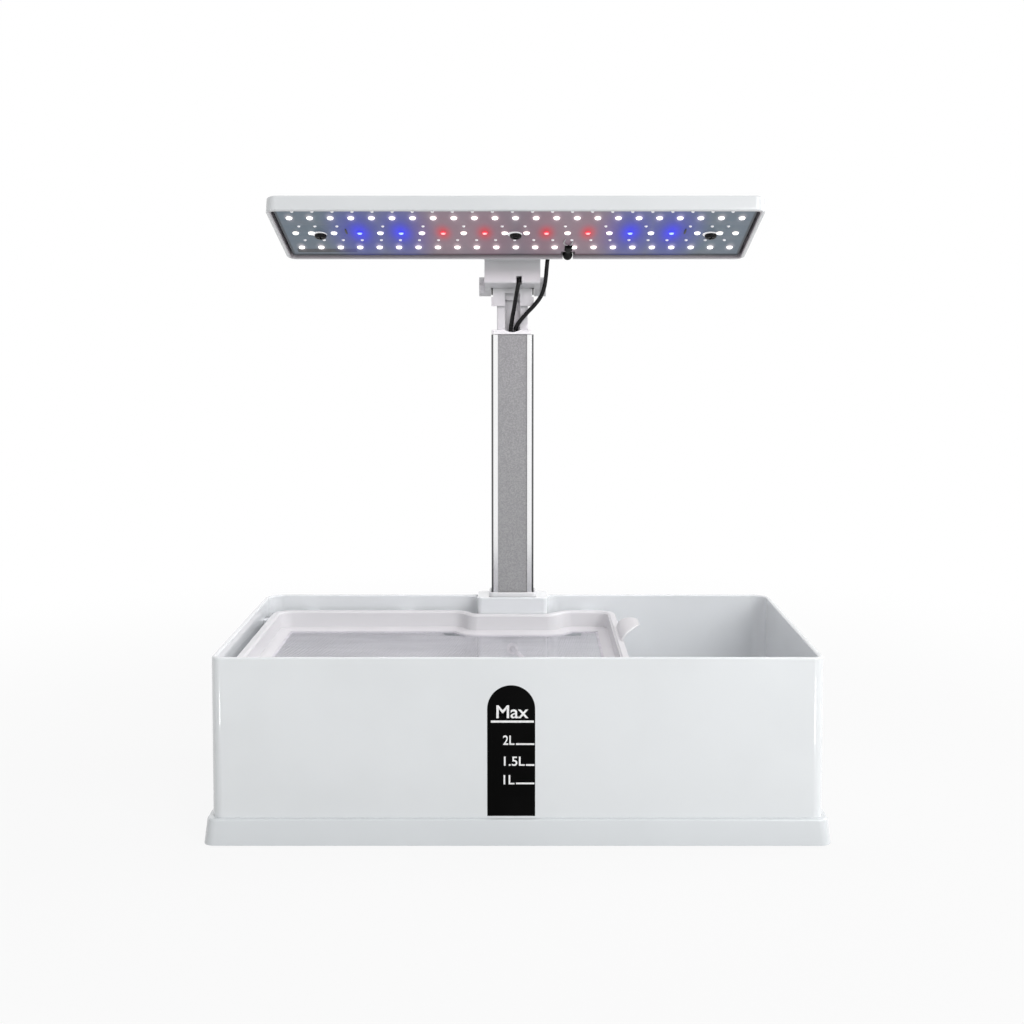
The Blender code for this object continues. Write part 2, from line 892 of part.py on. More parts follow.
def make_hinge():
    radius = hinge_block_depth / 2
    half = hinge_block_width / 2
    left, right = post_offset - half, post_offset + half
    side = hinge_side(radius, hinge_block_bottom)
    block = keep(prism(side, left, right, "x"), "hinge_block", "fitting_white")
    knuckle_half = knuckle_width / 2
    reach = radius + cut_overrun
    relief = box_corners(
        hinge_place[1] - reach,
        hinge_place[1] + reach,
        hinge_height - boss_radius - fit_gap - fit_gap,
        hinge_height + boss_radius + cut_overrun,
    )
    cut(block, prism(relief, left - cut_overrun, post_offset - knuckle_half, "x"))
    cut(block, prism(relief, post_offset + knuckle_half, right + cut_overrun, "x"))
    cut(block, prism(neck_outline(fit_gap), hinge_block_bottom - cut_overrun, neck_top + fit_gap))
    groove_half = neck_channel_width / 2
    groove = box_corners(
        post_offset - groove_half,
        post_offset + groove_half,
        hinge_place[1] - reach,
        neck_front + neck_channel_depth / 2,
    )
    cut(block, prism(groove, hinge_block_bottom - cut_overrun, groove_top))
    axis = (hinge_place[1], hinge_place[2])
    cut(block, prism(circle(axis, bolt_radius + fit_gap), left, right, "x"))


def make_lamp_pivot():
    """An empty on the hinge axis, tilted as the lamp is at rest. Its children are made level."""
    pivot = bpy.data.objects.new("lamp_pivot", None)
    bpy.context.scene.collection.objects.link(pivot)
    pivot.location = hinge_place
    pivot.rotation_euler.x = -lamp_tilt
    return pivot


def make_washers(pivot):
    inner = bolt_radius + fit_gap
    for name, side in (("left", -1), ("right", 1)):
        near = side * (knuckle_width / 2 + fit_gap)
        far = side * (knuckle_width / 2 + fit_gap + washer_thickness)
        rings = [
            (circle((0, 0), washer_radius), near),
            (circle((0, 0), washer_radius), far),
            (circle((0, 0), inner), far),
            (circle((0, 0), inner), near),
        ]
        keep(loft(rings, "x", closed=True), "friction_washer_" + name, "rubber_black", pivot)


def make_bolt(pivot):
    """The hinge bolt, its head sunk in the left boss, and the nut sunk in the right one."""
    end = boss_span / 2 - fit_gap
    head = end - bolt_head_height
    steps = [(bolt_head_radius, -end), (bolt_head_radius, -head), (bolt_radius, -head), (bolt_radius, end)]
    keep(turned((0, 0), steps, "x"), "hinge_bolt", "screw_steel", pivot)
    inner = bolt_radius + fit_gap
    rings = [
        (circle((0, 0), bolt_head_radius, nut_sides), head),
        (circle((0, 0), bolt_head_radius, nut_sides), end),
        (circle((0, 0), inner, nut_sides), end),
        (circle((0, 0), inner, nut_sides), head),
    ]
    keep(loft(rings, "x", closed=True), "hinge_nut", "screw_steel", pivot)


def yoke_side():
    """The yoke from the side: a box in front of the hinge and a plate over the lamp's rear edge."""
    lamp_edge = lamp_rear + fit_gap
    plate_front = lamp_rear - yoke_plate_reach
    plate_low = lamp_top + fit_gap
    corners = [
        (yoke_box_front, yoke_box_bottom),
        (yoke_box_back, yoke_box_bottom),
        (yoke_box_back, yoke_top),
        (plate_front, yoke_top),
        (plate_front, plate_low),
        (lamp_edge, plate_low),
        (lamp_edge, lamp_underside + board_recess),
        (yoke_box_front, lamp_underside + board_recess),
    ]
    plain = least_radius
    radii = [yoke_corner, plain, yoke_corner, yoke_corner, plain, plain, yoke_corner, plain]
    return rounded_outline(corners, radii)


def pocket_place(margin):
    """The switch pocket from above, with a margin round it."""
    half = boss_span / 2 - cheek_thickness - yoke_wall - yoke_wall
    return box_corners(
        -half - margin, half + margin, yoke_box_front + yoke_wall - margin, yoke_box_back - yoke_wall + margin
    )


def yoke_screw_places():
    y = lamp_rear - yoke_plate_reach / 2
    return {"left": (-yoke_screw_spacing / 2, y), "right": (yoke_screw_spacing / 2, y)}


def make_yoke(pivot):
    """The yoke that joins the lamp to the hinge, hollow for the switch."""
    inner = hinge_block_width / 2 + fit_gap
    outer = inner + cheek_thickness
    yoke = keep(prism(yoke_side(), -outer, outer, "x"), "lamp_yoke", "fitting_white", pivot)
    for side in (-1, 1):
        cheek_low = yoke_box_front + yoke_wall
        cheek = [(cheek_low, -boss_radius / 2), (0, -boss_radius)]
        angles = [math.pi * i / small_round_sides for i in range(1, small_round_sides)]
        arc = [(boss_radius * math.sin(angle), -boss_radius * math.cos(angle)) for angle in angles]
        cheek_top = yoke_top - yoke_corner
        top = [(0, boss_radius), (yoke_box_back - fit_gap, cheek_top), (cheek_low, cheek_top)]
        join(yoke, prism(cheek + arc + top, side * inner, side * (outer - join_step), "x"), pivot)
        boss = circle((0, 0), boss_radius + join_step, large_round_sides)
        join(yoke, prism(boss, side * (inner + join_step), side * boss_span / 2, "x"), pivot)
    reach = boss_span / 2 + cut_overrun
    cut(yoke, prism(circle((0, 0), bolt_radius + fit_gap), -reach, reach, "x"), pivot)
    seat = boss_span / 2 - bolt_head_height - fit_gap - fit_gap
    sink = circle((0, 0), bolt_head_radius + fit_gap)
    cut(yoke, gather([prism(sink, side * seat, side * reach, "x") for side in (-1, 1)]), pivot)
    pocket = [
        (pocket_place(0), pocket_floor),
        (pocket_place(0), cover_bottom - fit_gap),
        (pocket_place(cover_ledge), cover_bottom - fit_gap),
        (pocket_place(cover_ledge), yoke_top + cut_overrun),
    ]
    cut(yoke, loft(pocket), pivot)
    half_notch = lead_notch_width / 2
    notch = box_corners(
        lead_notch_offset - half_notch, lead_notch_offset + half_notch,
        yoke_box_front - cut_overrun, yoke_box_front + lead_notch_depth,
    )
    cut(yoke, prism(notch, yoke_box_bottom - cut_overrun, yoke_box_bottom + lead_notch_height), pivot)
    head_low = yoke_top - yoke_screw_head_height - fit_gap
    for place in yoke_screw_places().values():
        steps = [
            (yoke_screw_radius + fit_gap, lamp_top),
            (yoke_screw_radius + fit_gap, head_low),
            (yoke_screw_head + fit_gap, head_low),
            (yoke_screw_head + fit_gap, yoke_top + cut_overrun),
        ]
        cut(yoke, turned(place, steps), pivot)


def make_yoke_screws(pivot):
    for name, place in yoke_screw_places().items():
        head_low = yoke_top - yoke_screw_head_height
        steps = [
            (yoke_screw_radius, lamp_top - lamp_roof),
            (yoke_screw_radius, head_low),
            (yoke_screw_head, head_low),
            (yoke_screw_head, yoke_top),
        ]
        keep(turned(place, steps), "yoke_screw_" + name, "screw_steel", pivot)


def make_switch(pivot):
    """The cover over the pocket, the timer button and the little board with its switch."""
    y = (yoke_box_front + yoke_box_back) / 2
    plate = prism(pocket_place(cover_ledge - fit_gap), cover_bottom, cover_top)
    cover = keep(plate, "yoke_cover", "fitting_white", pivot)
    button_hole = circle((0, y), button_radius + fit_gap)
    cut(cover, prism(button_hole, cover_bottom - cut_overrun, cover_top + cut_overrun), pivot)
    flange_top = cover_bottom - fit_gap
    steps = [
        (button_flange_radius, flange_top - button_flange),
        (button_flange_radius, flange_top),
        (button_radius, flange_top),
        (button_radius, cover_top + button_proud),
    ]
    keep(turned((0, y), steps), "timer_button", "pump_grey", pivot)
    board_low = pocket_floor + fit_gap
    inner = pocket_place(-fit_gap)
    plate = prism(inner, board_low, board_low + switch_board_thickness)
    board = keep(plate, "switch_board", "circuit_green", pivot)
    half = switch_body / 2
    switch_top = flange_top - button_flange - button_travel - fit_gap
    body = box_corners(-half, half, y - half, y + half)
    join(board, prism(body, board_low, switch_top - switch_body_height), pivot)
    plunger = circle((0, y), button_radius)
    join(board, prism(plunger, board_low, switch_top), pivot)


def lamp_outline(inset=0, radius=lamp_corner):
    half = lamp_width / 2
    return round_box(lamp_offset - half, lamp_offset + half, lamp_front, lamp_rear, radius, inset)


def board_screw_places():
    y = lamp_front + board_screw_row
    return [(lamp_offset + lamp_width * share, y) for share in board_screw_shares]


def make_lamp(pivot):
    """The lamp housing, open below, with bosses for the board."""
    edge = lamp_edge_round
    roof = lamp_top - lamp_roof
    rings = [
        (lamp_outline(edge), lamp_top),
        (lamp_outline(), lamp_top - edge),
        (lamp_outline(), lamp_underside),
        (lamp_outline(lamp_wall), lamp_underside),
        (lamp_outline(lamp_wall), roof),
    ]
    lamp = keep(loft(rings), "lamp_housing", "lamp_white", pivot)
    boss_low, boss_high = board_top + fit_gap, roof + lamp_roof / 2
    hole_radius = board_screw_radius + fit_gap
    places = board_screw_places()
    bosses = [prism(circle(place, board_boss_radius), boss_low, boss_high) for place in places]
    join(lamp, gather(bosses), pivot)
    holes = [prism(circle(place, hole_radius), board_top, roof - fit_gap) for place in places]
    cut(lamp, gather(holes), pivot)
    drill = [
        prism(circle(place, yoke_screw_radius + fit_gap), roof - cut_overrun, lamp_top + cut_overrun)
        for place in yoke_screw_places().values()
    ]
    cut(lamp, gather(drill), pivot)
    slot_back = lamp_rear - lamp_wall - cut_overrun
    cut(lamp, prism(gland_slot(), slot_back, lamp_rear + cut_overrun, "y"), pivot)


def gland_slot():
    """The slot for the gland in the lamp's rear wall, seen from behind: open below and round above."""
    radius = gland_radius + fit_gap
    middle = lamp_underside + gland_height
    low = lamp_underside - cut_overrun
    arc = half_round((gland_offset, middle), radius)
    return [(gland_offset - radius, low), (gland_offset + radius, low)] + arc


def led_places():
    """Centres of the light-emitting chips: two even rows and a middle one that leaves room for the screws."""
    pitch = lamp_width * led_pitch_share
    even = [pitch * (column - (led_columns - 1) / 2) for column in range(led_columns)]
    middle = [lamp_width * share * side for share in middle_row_shares for side in (-1, 1)]
    rows = ((front_row, even), (middle_row, middle), (back_row, even))
    return [(lamp_offset + x, lamp_front + distance) for distance, places in rows for x in places]


def make_board(pivot):
    inset = lamp_wall + board_side_gap
    board = keep(prism(lamp_outline(inset), board_face, board_top), "led_board", "board_grey", pivot)
    half = led_size / 2
    sunk = board_face + board_thickness / 2
    chips = [
        prism(box_corners(x - half, x + half, y - half, y + half), board_face - led_height, sunk)
        for x, y in led_places()
    ]
    join(board, gather(chips), pivot)
    holes = [
        prism(circle(place, board_screw_radius + fit_gap), board_face - cut_overrun, board_top + cut_overrun)
        for place in board_screw_places()
    ]
    cut(board, gather(holes), pivot)
    slot_half = gland_radius + board_side_gap
    slot_front = lamp_rear - gland_length - board_side_gap
    slot = box_corners(gland_offset - slot_half, gland_offset + slot_half, slot_front, lamp_rear)
    cut(board, prism(slot, board_face - cut_overrun, board_top + cut_overrun), pivot)
    low = board_face - fit_gap
    for number, place in enumerate(board_screw_places(), 1):
        steps = [
            (board_screw_head, low - board_screw_head_height),
            (board_screw_head, low),
            (board_screw_radius, low),
            (board_screw_radius, lamp_top - lamp_roof - fit_gap - fit_gap),
        ]
        keep(turned(place, steps), f"board_screw_{number}", "screw_black", pivot)


def make_gland(pivot):
    """The gland that the lamp's lead passes through."""
    centre = (gland_offset, lamp_underside + gland_height)
    inner = lead_radius + fit_gap
    outside = lamp_rear + fit_gap
    rings = [
        (circle(centre, gland_flange_radius), outside + gland_flange),
        (circle(centre, gland_flange_radius), outside),
        (circle(centre, gland_radius), outside),
        (circle(centre, gland_radius), outside - gland_length),
        (circle(centre, inner), outside - gland_length),
        (circle(centre, inner), outside + gland_flange),
    ]
    keep(loft(rings, "y", closed=True), "lead_gland", "rubber_black", pivot)


def smooth_points(route, spacing):
    """Evenly spread points of a smooth curve through the route's own points."""
    places = [Vector(place) for place in route]
    places = [2 * places[0] - places[1]] + places + [2 * places[-1] - places[-2]]
    points = [places[1]]
    for a, b, c, d in zip(places, places[1:], places[2:], places[3:]):
        count = max(1, round((c - b).length / spacing))
        for step in range(1, count + 1):
            t = step / count
            bend = (2 * a - 5 * b + 4 * c - d) * t**2 + (3 * b - a - 3 * c + d) * t**3
            points.append((2 * b + (c - a) * t + bend) / 2)
    return points


def make_lead(name, route, radius):
    """A round lead along a smooth route."""
    curve = bpy.data.curves.new(name, "CURVE")
    curve.dimensions = "3D"
    curve.bevel_depth = radius
    curve.bevel_resolution = 2
    curve.use_fill_caps = True
    points = smooth_points(route, lead_point_spacing)
    spline = curve.splines.new("POLY")
    spline.points.add(len(points) - 1)
    for point, place in zip(spline.points, points):
        point.co = (*place, 1)
    curve.materials.append(material("rubber_black"))
    lead = bpy.data.objects.new(name, curve)
    bpy.context.scene.collection.objects.link(lead)


def tray_outline(inset=0):
    """The tray from above, drawn in by an inset: a rectangle with a notch round the column."""
    left = post_offset - column_width / 2
    right = post_offset + column_width / 2
    notch_front = column_front - notch_clear
    corners = [
        (tray_left, tray_front),
        (tray_right, tray_front),
        (tray_right, tray_back),
        (right + notch_mouth_margin, tray_back),
        (right + notch_floor_margin, notch_front),
        (left - notch_floor_margin, notch_front),
        (left - notch_mouth_margin, tray_back),
        (tray_left, tray_back),
    ]
    radii = [tray_corner] * 3 + [notch_round] * 4 + [tray_corner]
    return rounded_outline(corners, radii, inset)


def tab_side():
    """The finger tab from the front: it rises from the flange and curls outwards until it is level."""
    start = tray_right - tray_flange_width
    steps = corner_steps * 2
    under = [(start, tray_flange_height - tray_skin), (tray_right, tray_flange_height - tray_skin)]
    over = []
    for i in range(steps + 1):
        angle = math.pi / 2 * i / steps
        x = tray_right - tab_thickness + (tab_reach + tab_thickness) * (1 - math.cos(angle))
        z = tray_flange_height + tab_rise * math.sin(angle)
        normal = Vector((-tab_rise * math.cos(angle), tab_reach * math.sin(angle))).normalized()
        over.append((x, z))
        under.append((x - normal.x * tab_thickness, z - normal.y * tab_thickness))
    return under + over[::-1] + [(start, tray_flange_height)]


def make_tray():
    """The lift-out grow tray: flange, groove, wall, ledge and a lip under the mesh."""
    flange = tray_flange_height
    groove = flange - tray_groove_depth
    wall_top = tray_flange_width + (tray_wall_inset - tray_flange_width) * tray_groove_share
    wall_foot = tray_wall_inset + fit_gap
    lip_top = tray_floor_height - mesh_thickness - fit_gap
    lip_low = lip_top - tray_lip_drop
    rings = [
        (0, flange - tray_skin),
        (0, flange),
        (tray_flange_width, flange),
        (wall_top, groove),
        (tray_wall_inset, groove),
        (wall_foot, tray_ledge_height),
        (tray_ledge_inset, tray_ledge_height),
        (tray_floor_inset, tray_floor_height),
        (tray_floor_inset, lip_top),
        (tray_floor_inset + tray_lip, lip_top),
        (tray_floor_inset + tray_lip, lip_low),
        (tray_floor_inset - tray_skin, lip_low),
        (tray_ledge_inset - tray_skin / 2, tray_ledge_height - tray_skin),
        (tray_flange_width, tray_ledge_height - tray_skin),
        (tray_wall_inset - tray_skin, groove - tray_skin),
        (tray_wall_inset - tray_skin, flange - tray_skin),
    ]
    shell = loft([(tray_outline(inset), height) for inset, height in rings], closed=True)
    tray = keep(shell, "grow_tray", "tray_white")
    half = tab_width / 2
    tab = prism(tab_side(), tab_place - half, tab_place + half, "y")
    for vert in tab.verts:
        out = max(0.0, vert.co.x - tray_right) / tab_reach
        share = 1 - out**2 * (1 - tab_tip_width / tab_width)
        vert.co.y = tab_place + (vert.co.y - tab_place) * share
    join(tray, tab)


def in_mesh(x, y, half):
    """Whether a gap of this half size lies clear of the net's border and its notch."""
    border = tray_floor_inset + mesh_border + half
    in_width = tray_left + border < x < tray_right - border
    if not (in_width and tray_front + border < y < tray_back - border):
        return False
    notch_half = column_width / 2 + notch_mouth_margin + border
    return y < column_front - border or abs(x - post_offset) > notch_half


def make_tray_mesh():
    """The net in the tray's floor, with square gaps."""
    inset = tray_floor_inset + fit_gap
    top = tray_floor_height
    net = keep(prism(tray_outline(inset), top - mesh_thickness, top), "tray_mesh", "mesh_grey")
    half = (mesh_pitch - mesh_bar) / 2
    across = int((tray_right - tray_left) / mesh_pitch)
    deep = int((tray_back - tray_front) / mesh_pitch)
    middle_x = (tray_left + tray_right) / 2
    middle_y = (tray_front + tray_back) / 2
    gaps = []
    for i in range(across + 1):
        for j in range(deep + 1):
            x = middle_x + mesh_pitch * (i - across / 2)
            y = middle_y + mesh_pitch * (j - deep / 2)
            if in_mesh(x, y, half):
                outline = box_corners(x - half, x + half, y - half, y + half)
                gaps.append(prism(outline, top - mesh_thickness - cut_overrun, top + cut_overrun))
    cut(net, gather(gaps))


def make_pump():
    """The pump on the tank's floor: body, impeller on its shaft, and the slotted intake in front."""
    low = water_floor_height + fit_gap
    high = low + pump_height
    back = pump_front + pump_depth
    left = pump_offset - pump_width / 2
    right = pump_offset + pump_width / 2
    block = prism(round_box(left, right, pump_front, back, pump_corner), low, high)
    body = keep(block, "pump_body", "pump_grey")
    axis = (pump_offset, low + pump_height / 2)
    chamber_back = pump_front + pump_chamber_depth
    chamber = circle(axis, pump_chamber_radius, large_round_sides)
    cut(body, prism(chamber, pump_front - cut_overrun, chamber_back, "y"))
    shaft = circle(axis, pump_shaft_radius)
    join(body, prism(shaft, chamber_back - pump_shaft_length, chamber_back + pump_wall, "y"))
    spout = (axis[0], pump_front + pump_chamber_depth / 2)
    join(body, prism(circle(spout, spout_radius), high - pump_wall, high + spout_length))
    cut(body, prism(circle(spout, spout_bore), axis[1], high + spout_length + cut_overrun))
    seat = pump_front - fit_gap
    plate = prism(round_box(left, right, low, high, pump_corner), seat - intake_thickness, seat, "y")
    cover = keep(plate, "pump_intake", "pump_grey")
    slots = []
    for step in intake_slot_steps:
        x = axis[0] + step * intake_slot_pitch
        half_height = math.sqrt(pump_chamber_radius**2 - (step * intake_slot_pitch) ** 2) - intake_slot
        half_slot = intake_slot / 2
        outline = box_corners(x - half_slot, x + half_slot, axis[1] - half_height, axis[1] + half_height)
        slots.append(prism(outline, seat - intake_thickness - cut_overrun, seat + cut_overrun, "y"))
    cut(cover, gather(slots))
    wheel_low = chamber_back - pump_shaft_length
    wheel_high = wheel_low + impeller_length
    rings = [
        (circle(axis, impeller_hub), wheel_low),
        (circle(axis, impeller_hub), wheel_high),
        (circle(axis, impeller_bore), wheel_high),
        (circle(axis, impeller_bore), wheel_low),
    ]
    wheel = keep(loft(rings, "y", closed=True), "pump_impeller", "fitting_white")
    for number in range(impeller_vanes):
        angle = math.tau * number / impeller_vanes
        along = Vector((math.cos(angle), math.sin(angle)))
        across = Vector((-along.y, along.x)) * impeller_vane / 2
        centre = Vector(axis)
        root = centre + along * (impeller_hub + impeller_bore) / 2
        tip = centre + along * impeller_radius
        outline = [tuple(root - across), tuple(tip - across), tuple(tip + across), tuple(root + across)]
        join(wheel, prism(outline, wheel_low, wheel_high, "y"))


def make_pump_gland():
    """The gland through which the pump's lead enters the dry column."""
    centre = (post_offset, pump_gland_height)
    inner = pump_lead_radius + fit_gap
    outside = column_front - fit_gap
    rings = [
        (circle(centre, pump_gland_flange), outside - gland_flange),
        (circle(centre, pump_gland_flange), outside),
        (circle(centre, pump_gland_radius), outside),
        (circle(centre, pump_gland_radius), channel_front),
        (circle(centre, inner), channel_front),
        (circle(centre, inner), outside - gland_flange),
    ]
    keep(loft(rings, "y", closed=True), "pump_gland", "rubber_black")


def main():
    clear_scene()
    make_tank()
    make_scale()
    make_base()
    make_feet_and_screws()
    make_post()
    make_collar()
    make_inlet()
    make_cap()
    make_neck()
    make_hinge()
    pivot = make_lamp_pivot()
    make_washers(pivot)
    make_bolt(pivot)
    make_yoke(pivot)
    make_yoke_screws(pivot)
    make_switch(pivot)
    make_lamp(pivot)
    make_board(pivot)
    make_gland(pivot)
    make_lead("switch_lead", switch_lead_route, lead_radius)
    make_lead("lamp_lead", lamp_lead_route, lead_radius)
    make_tray()
    make_tray_mesh()
    make_pump()
    make_pump_gland()
    make_lead("pump_lead", pump_lead_route, pump_lead_radius)


main()
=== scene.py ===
import math

import bmesh
import bpy
from mathutils import Matrix, Vector


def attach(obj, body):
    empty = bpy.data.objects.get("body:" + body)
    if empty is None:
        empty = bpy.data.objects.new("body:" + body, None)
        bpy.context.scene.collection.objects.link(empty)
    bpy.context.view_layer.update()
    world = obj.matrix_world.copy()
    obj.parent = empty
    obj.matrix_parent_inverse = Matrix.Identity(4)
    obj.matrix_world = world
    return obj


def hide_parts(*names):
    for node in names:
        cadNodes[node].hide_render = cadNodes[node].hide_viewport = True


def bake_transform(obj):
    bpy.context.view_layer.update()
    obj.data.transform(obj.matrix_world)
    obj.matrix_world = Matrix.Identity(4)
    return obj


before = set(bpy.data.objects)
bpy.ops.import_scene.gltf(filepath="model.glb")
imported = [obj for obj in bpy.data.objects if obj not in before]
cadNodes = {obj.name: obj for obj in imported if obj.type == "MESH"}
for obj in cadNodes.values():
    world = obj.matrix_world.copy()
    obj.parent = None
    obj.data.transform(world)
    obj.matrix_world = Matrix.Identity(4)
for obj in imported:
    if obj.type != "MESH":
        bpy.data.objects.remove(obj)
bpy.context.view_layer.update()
mm = 0.001
tiny = 1e-6  # places nearer than this count as the same
print("frame loaded")


def inMm(*values):
    return tuple(value * mm for value in values)


cameraSettings = {
    "eye": inMm(0.8, -805.9, 273.8),
    "lookDown": math.radians(3),
    "sensor": 36,
    "lens": 49.36,
    "shift": (-0.0069, -0.1158),
    "clip": (0.01, 100),
}


def makeCamera():
    s = cameraSettings
    bpy.ops.object.camera_add(location=s["eye"])
    camera = bpy.context.object
    camera.name = "photoCamera"
    camera.rotation_euler = (math.radians(90) - s["lookDown"], 0, 0)
    camera.data.sensor_width = s["sensor"]
    camera.data.lens = s["lens"]
    camera.data.shift_x, camera.data.shift_y = s["shift"]
    camera.data.clip_start, camera.data.clip_end = s["clip"]
    bpy.context.scene.camera = camera


makeCamera()
bpy.context.scene.view_settings.view_transform = "Standard"
print("camera set")


class Signal:
    # a shader socket that takes part in sums
    def __init__(self, nodes, socket):
        self.nodes = nodes
        self.socket = socket

    def maths(self, operation, first, second=0.0):
        return self.nodes.add("ShaderNodeMath", {"operation": operation}, {0: first, 1: second})

    def __add__(self, other):
        return self.maths("ADD", self, other)

    def __radd__(self, other):
        return self.maths("ADD", other, self)

    def __sub__(self, other):
        return self.maths("SUBTRACT", self, other)

    def __rsub__(self, other):
        return self.maths("SUBTRACT", other, self)

    def __mul__(self, other):
        return self.maths("MULTIPLY", self, other)

    def __rmul__(self, other):
        return self.maths("MULTIPLY", other, self)

    def __pow__(self, other):
        return self.maths("POWER", self, other)

    def __abs__(self):
        return self.maths("ABSOLUTE", self)

    def most(self, other):
        return self.maths("MAXIMUM", self, other)

    def above(self, limit):
        return self.maths("GREATER_THAN", self, limit)

    def repeat(self, pitch):
        # distance from the nearest of the lines that lie a pitch apart
        return self.maths("PINGPONG", self, pitch / 2)

    def rise(self, low, high):
        # 0 up to low, 1 from high on, smooth in between
        values = {"Value": self, "From Min": low, "From Max": high, "To Min": 0.0, "To Max": 1.0}
        return self.nodes.add("ShaderNodeMapRange", {"interpolation_type": "SMOOTHSTEP"}, values)


class Nodes:
    # the nodes of a material or of the world, with one method that adds any of them
    def __init__(self, owner):
        owner.use_nodes = True
        self.tree = owner.node_tree
        self.tree.nodes.clear()

    def put(self, socket, value):
        if isinstance(value, Signal):
            self.tree.links.new(value.socket, socket)
        elif isinstance(value, tuple) and len(value) == 3 and len(socket.default_value) == 4:
            socket.default_value = (*value, 1)
        else:
            socket.default_value = value

    def add(self, kind, settings, values, out=0):
        # gives the signal of one output, or a list of signals where out is a tuple
        node = self.tree.nodes.new(kind)
        for name, value in settings.items():
            setattr(node, name, value)
        for name, value in values.items():
            self.put(node.inputs[name], value)
        if isinstance(out, tuple):
            return [Signal(self, node.outputs[name]) for name in out]
        return Signal(self, node.outputs[out])

    def split(self, vector):
        return self.add("ShaderNodeSeparateXYZ", {}, {0: vector}, (0, 1, 2))


class Finish(Nodes):
    def __init__(self, name):
        self.material = bpy.data.materials.new(name)
        super().__init__(self.material)
        self.shader = self.tree.nodes.new("ShaderNodeBsdfPrincipled")
        self.output = self.tree.nodes.new("ShaderNodeOutputMaterial")
        self.tree.links.new(self.shader.outputs[0], self.output.inputs[0])

    def set(self, **values):
        for name, value in values.items():
            self.put(self.shader.inputs[name.replace("_", " ")], value)

    def place(self, shift=(0, 0, 0), turn=(0, 0, 0), scale=(1, 1, 1)):
        # object coordinates, as a vector
        where = self.add("ShaderNodeTexCoord", {}, {}, "Object")
        if (shift, turn, scale) == ((0, 0, 0), (0, 0, 0), (1, 1, 1)):
            return where
        values = {"Vector": where, "Location": shift, "Rotation": turn, "Scale": scale}
        return self.add("ShaderNodeMapping", {}, values)

    def noise(self, vector, scale, detail=2.0, roughness=0.5):
        values = {"Vector": vector, "Scale": scale, "Detail": detail, "Roughness": roughness}
        return self.add("ShaderNodeTexNoise", {}, values, "Fac")

    def blendColours(self, factor, first, second):
        settings = {"data_type": "RGBA", "clamp_factor": True}
        return self.add("ShaderNodeMix", settings, {0: factor, 6: first, 7: second}, 2)

    def bump(self, height, strength, distance):
        # the last step of a finish, which gives back its material
        values = {"Height": height, "Strength": strength, "Distance": distance}
        self.set(Normal=self.add("ShaderNodeBump", {}, values))
        return self.material


# the lamp's pieces are made level, then turned with the lamp about the hinge
hingeAxis = inMm(-3.3, 77.35, 294.5)
lampTilt = math.radians(16.7)
lampTurn = Matrix.Translation(Vector(hingeAxis)) @ Matrix.Rotation(-lampTilt, 4, "X")


def lampPlace(finish):
    # level lamp coordinates for a pattern on the lamp
    back = lampTurn.inverted()
    return finish.place(tuple(back.translation), (lampTilt, 0, 0))


mouldedSettings = {
    # colour, roughness, clear coat
    "tankWhite": ((0.80, 0.825, 0.84), 0.22, 1.0),
    "skirtWhite": ((0.735, 0.765, 0.785), 0.24, 1.0),
    "trayWhite": ((0.72, 0.715, 0.73), 0.36, 0.15),
    "fittingWhite": ((0.60, 0.60, 0.615), 0.38, 0.15),
    "collarWhite": ((0.74, 0.745, 0.755), 0.34, 0.3),
    "lampWhite": ((0.74, 0.76, 0.775), 0.26, 0.8),
    "pumpGrey": ((0.88, 0.87, 0.89), 0.42, 0.10),
    "buttonGrey": ((0.45, 0.46, 0.48), 0.45, 0.05),
}


def mouldedTone(finish, cloud, colour):
    # slow drift of tone over a moulding
    darker = tuple(part * 0.965 for part in colour)
    return finish.blendColours(cloud.rise(0.35, 0.65), darker, colour)


def mouldedPlastic(name):
    colour, roughness, coat = mouldedSettings[name]
    finish = Finish(name)
    where = finish.place()
    cloud = finish.noise(where, 14, 3)
    grain = finish.noise(where, 900, 2)  # fine moulded grain
    ripple = finish.noise(where, 45, 2)  # faint sink marks
    finish.set(
        Base_Color=mouldedTone(finish, cloud, colour),
        Roughness=roughness - 0.03 + 0.06 * cloud + 0.03 * grain,
        Coat_Weight=coat,
        Coat_Roughness=0.04,
    )
    return finish.bump(grain * 0.12 + ripple, 0.25, 0.00006)


rubberSettings = {
    # roughness, level of its black, shine
    "blackRubber": (0.42, 0.012, 0.4),
    "leadBlack": (0.26, 0.004, 0.22),
    "glandBlack": (0.5, 0.002, 0.05),
    "screwBlack": (0.35, 0.003, 0.15),
}


def rubber(name):
    roughness, level, shine = rubberSettings[name]
    finish = Finish(name)
    dust = finish.noise(finish.place(), 260, 4, 0.6)
    dark, dusty = (level, level, level * 1.1), (level * 2.4, level * 2.4, level * 2.5)
    finish.set(
        Base_Color=finish.blendColours(dust.rise(0.5, 0.8), dark, dusty),
        Roughness=roughness - 0.06 + 0.14 * dust,
        Specular_IOR_Level=shine,
    )
    return finish.bump(dust, 0.3, 0.00005)


def scaleBlack():
    finish = Finish("scaleBlack")
    where = finish.place()
    grain = finish.noise(where, 600, 2)
    smear = finish.noise(where, 20, 3)
    black, smeared = (0.0015, 0.0015, 0.0015), (0.003, 0.003, 0.003)
    finish.set(
        Base_Color=finish.blendColours(smear.rise(0.4, 0.75), black, smeared),
        Roughness=0.35 + 0.1 * smear + 0.05 * grain,
        Specular_IOR_Level=0.03,
    )
    return finish.bump(grain, 0.15, 0.00003)


def markWhite():
    finish = Finish("markWhite")
    ink = finish.noise(finish.place(), 900, 3)
    finish.set(
        Base_Color=finish.blendColours(ink.rise(0.3, 0.6), (0.80, 0.80, 0.80), (0.93, 0.93, 0.93)),
        Roughness=0.40 + 0.15 * ink,
    )
    return finish.bump(ink, 0.2, 0.00003)


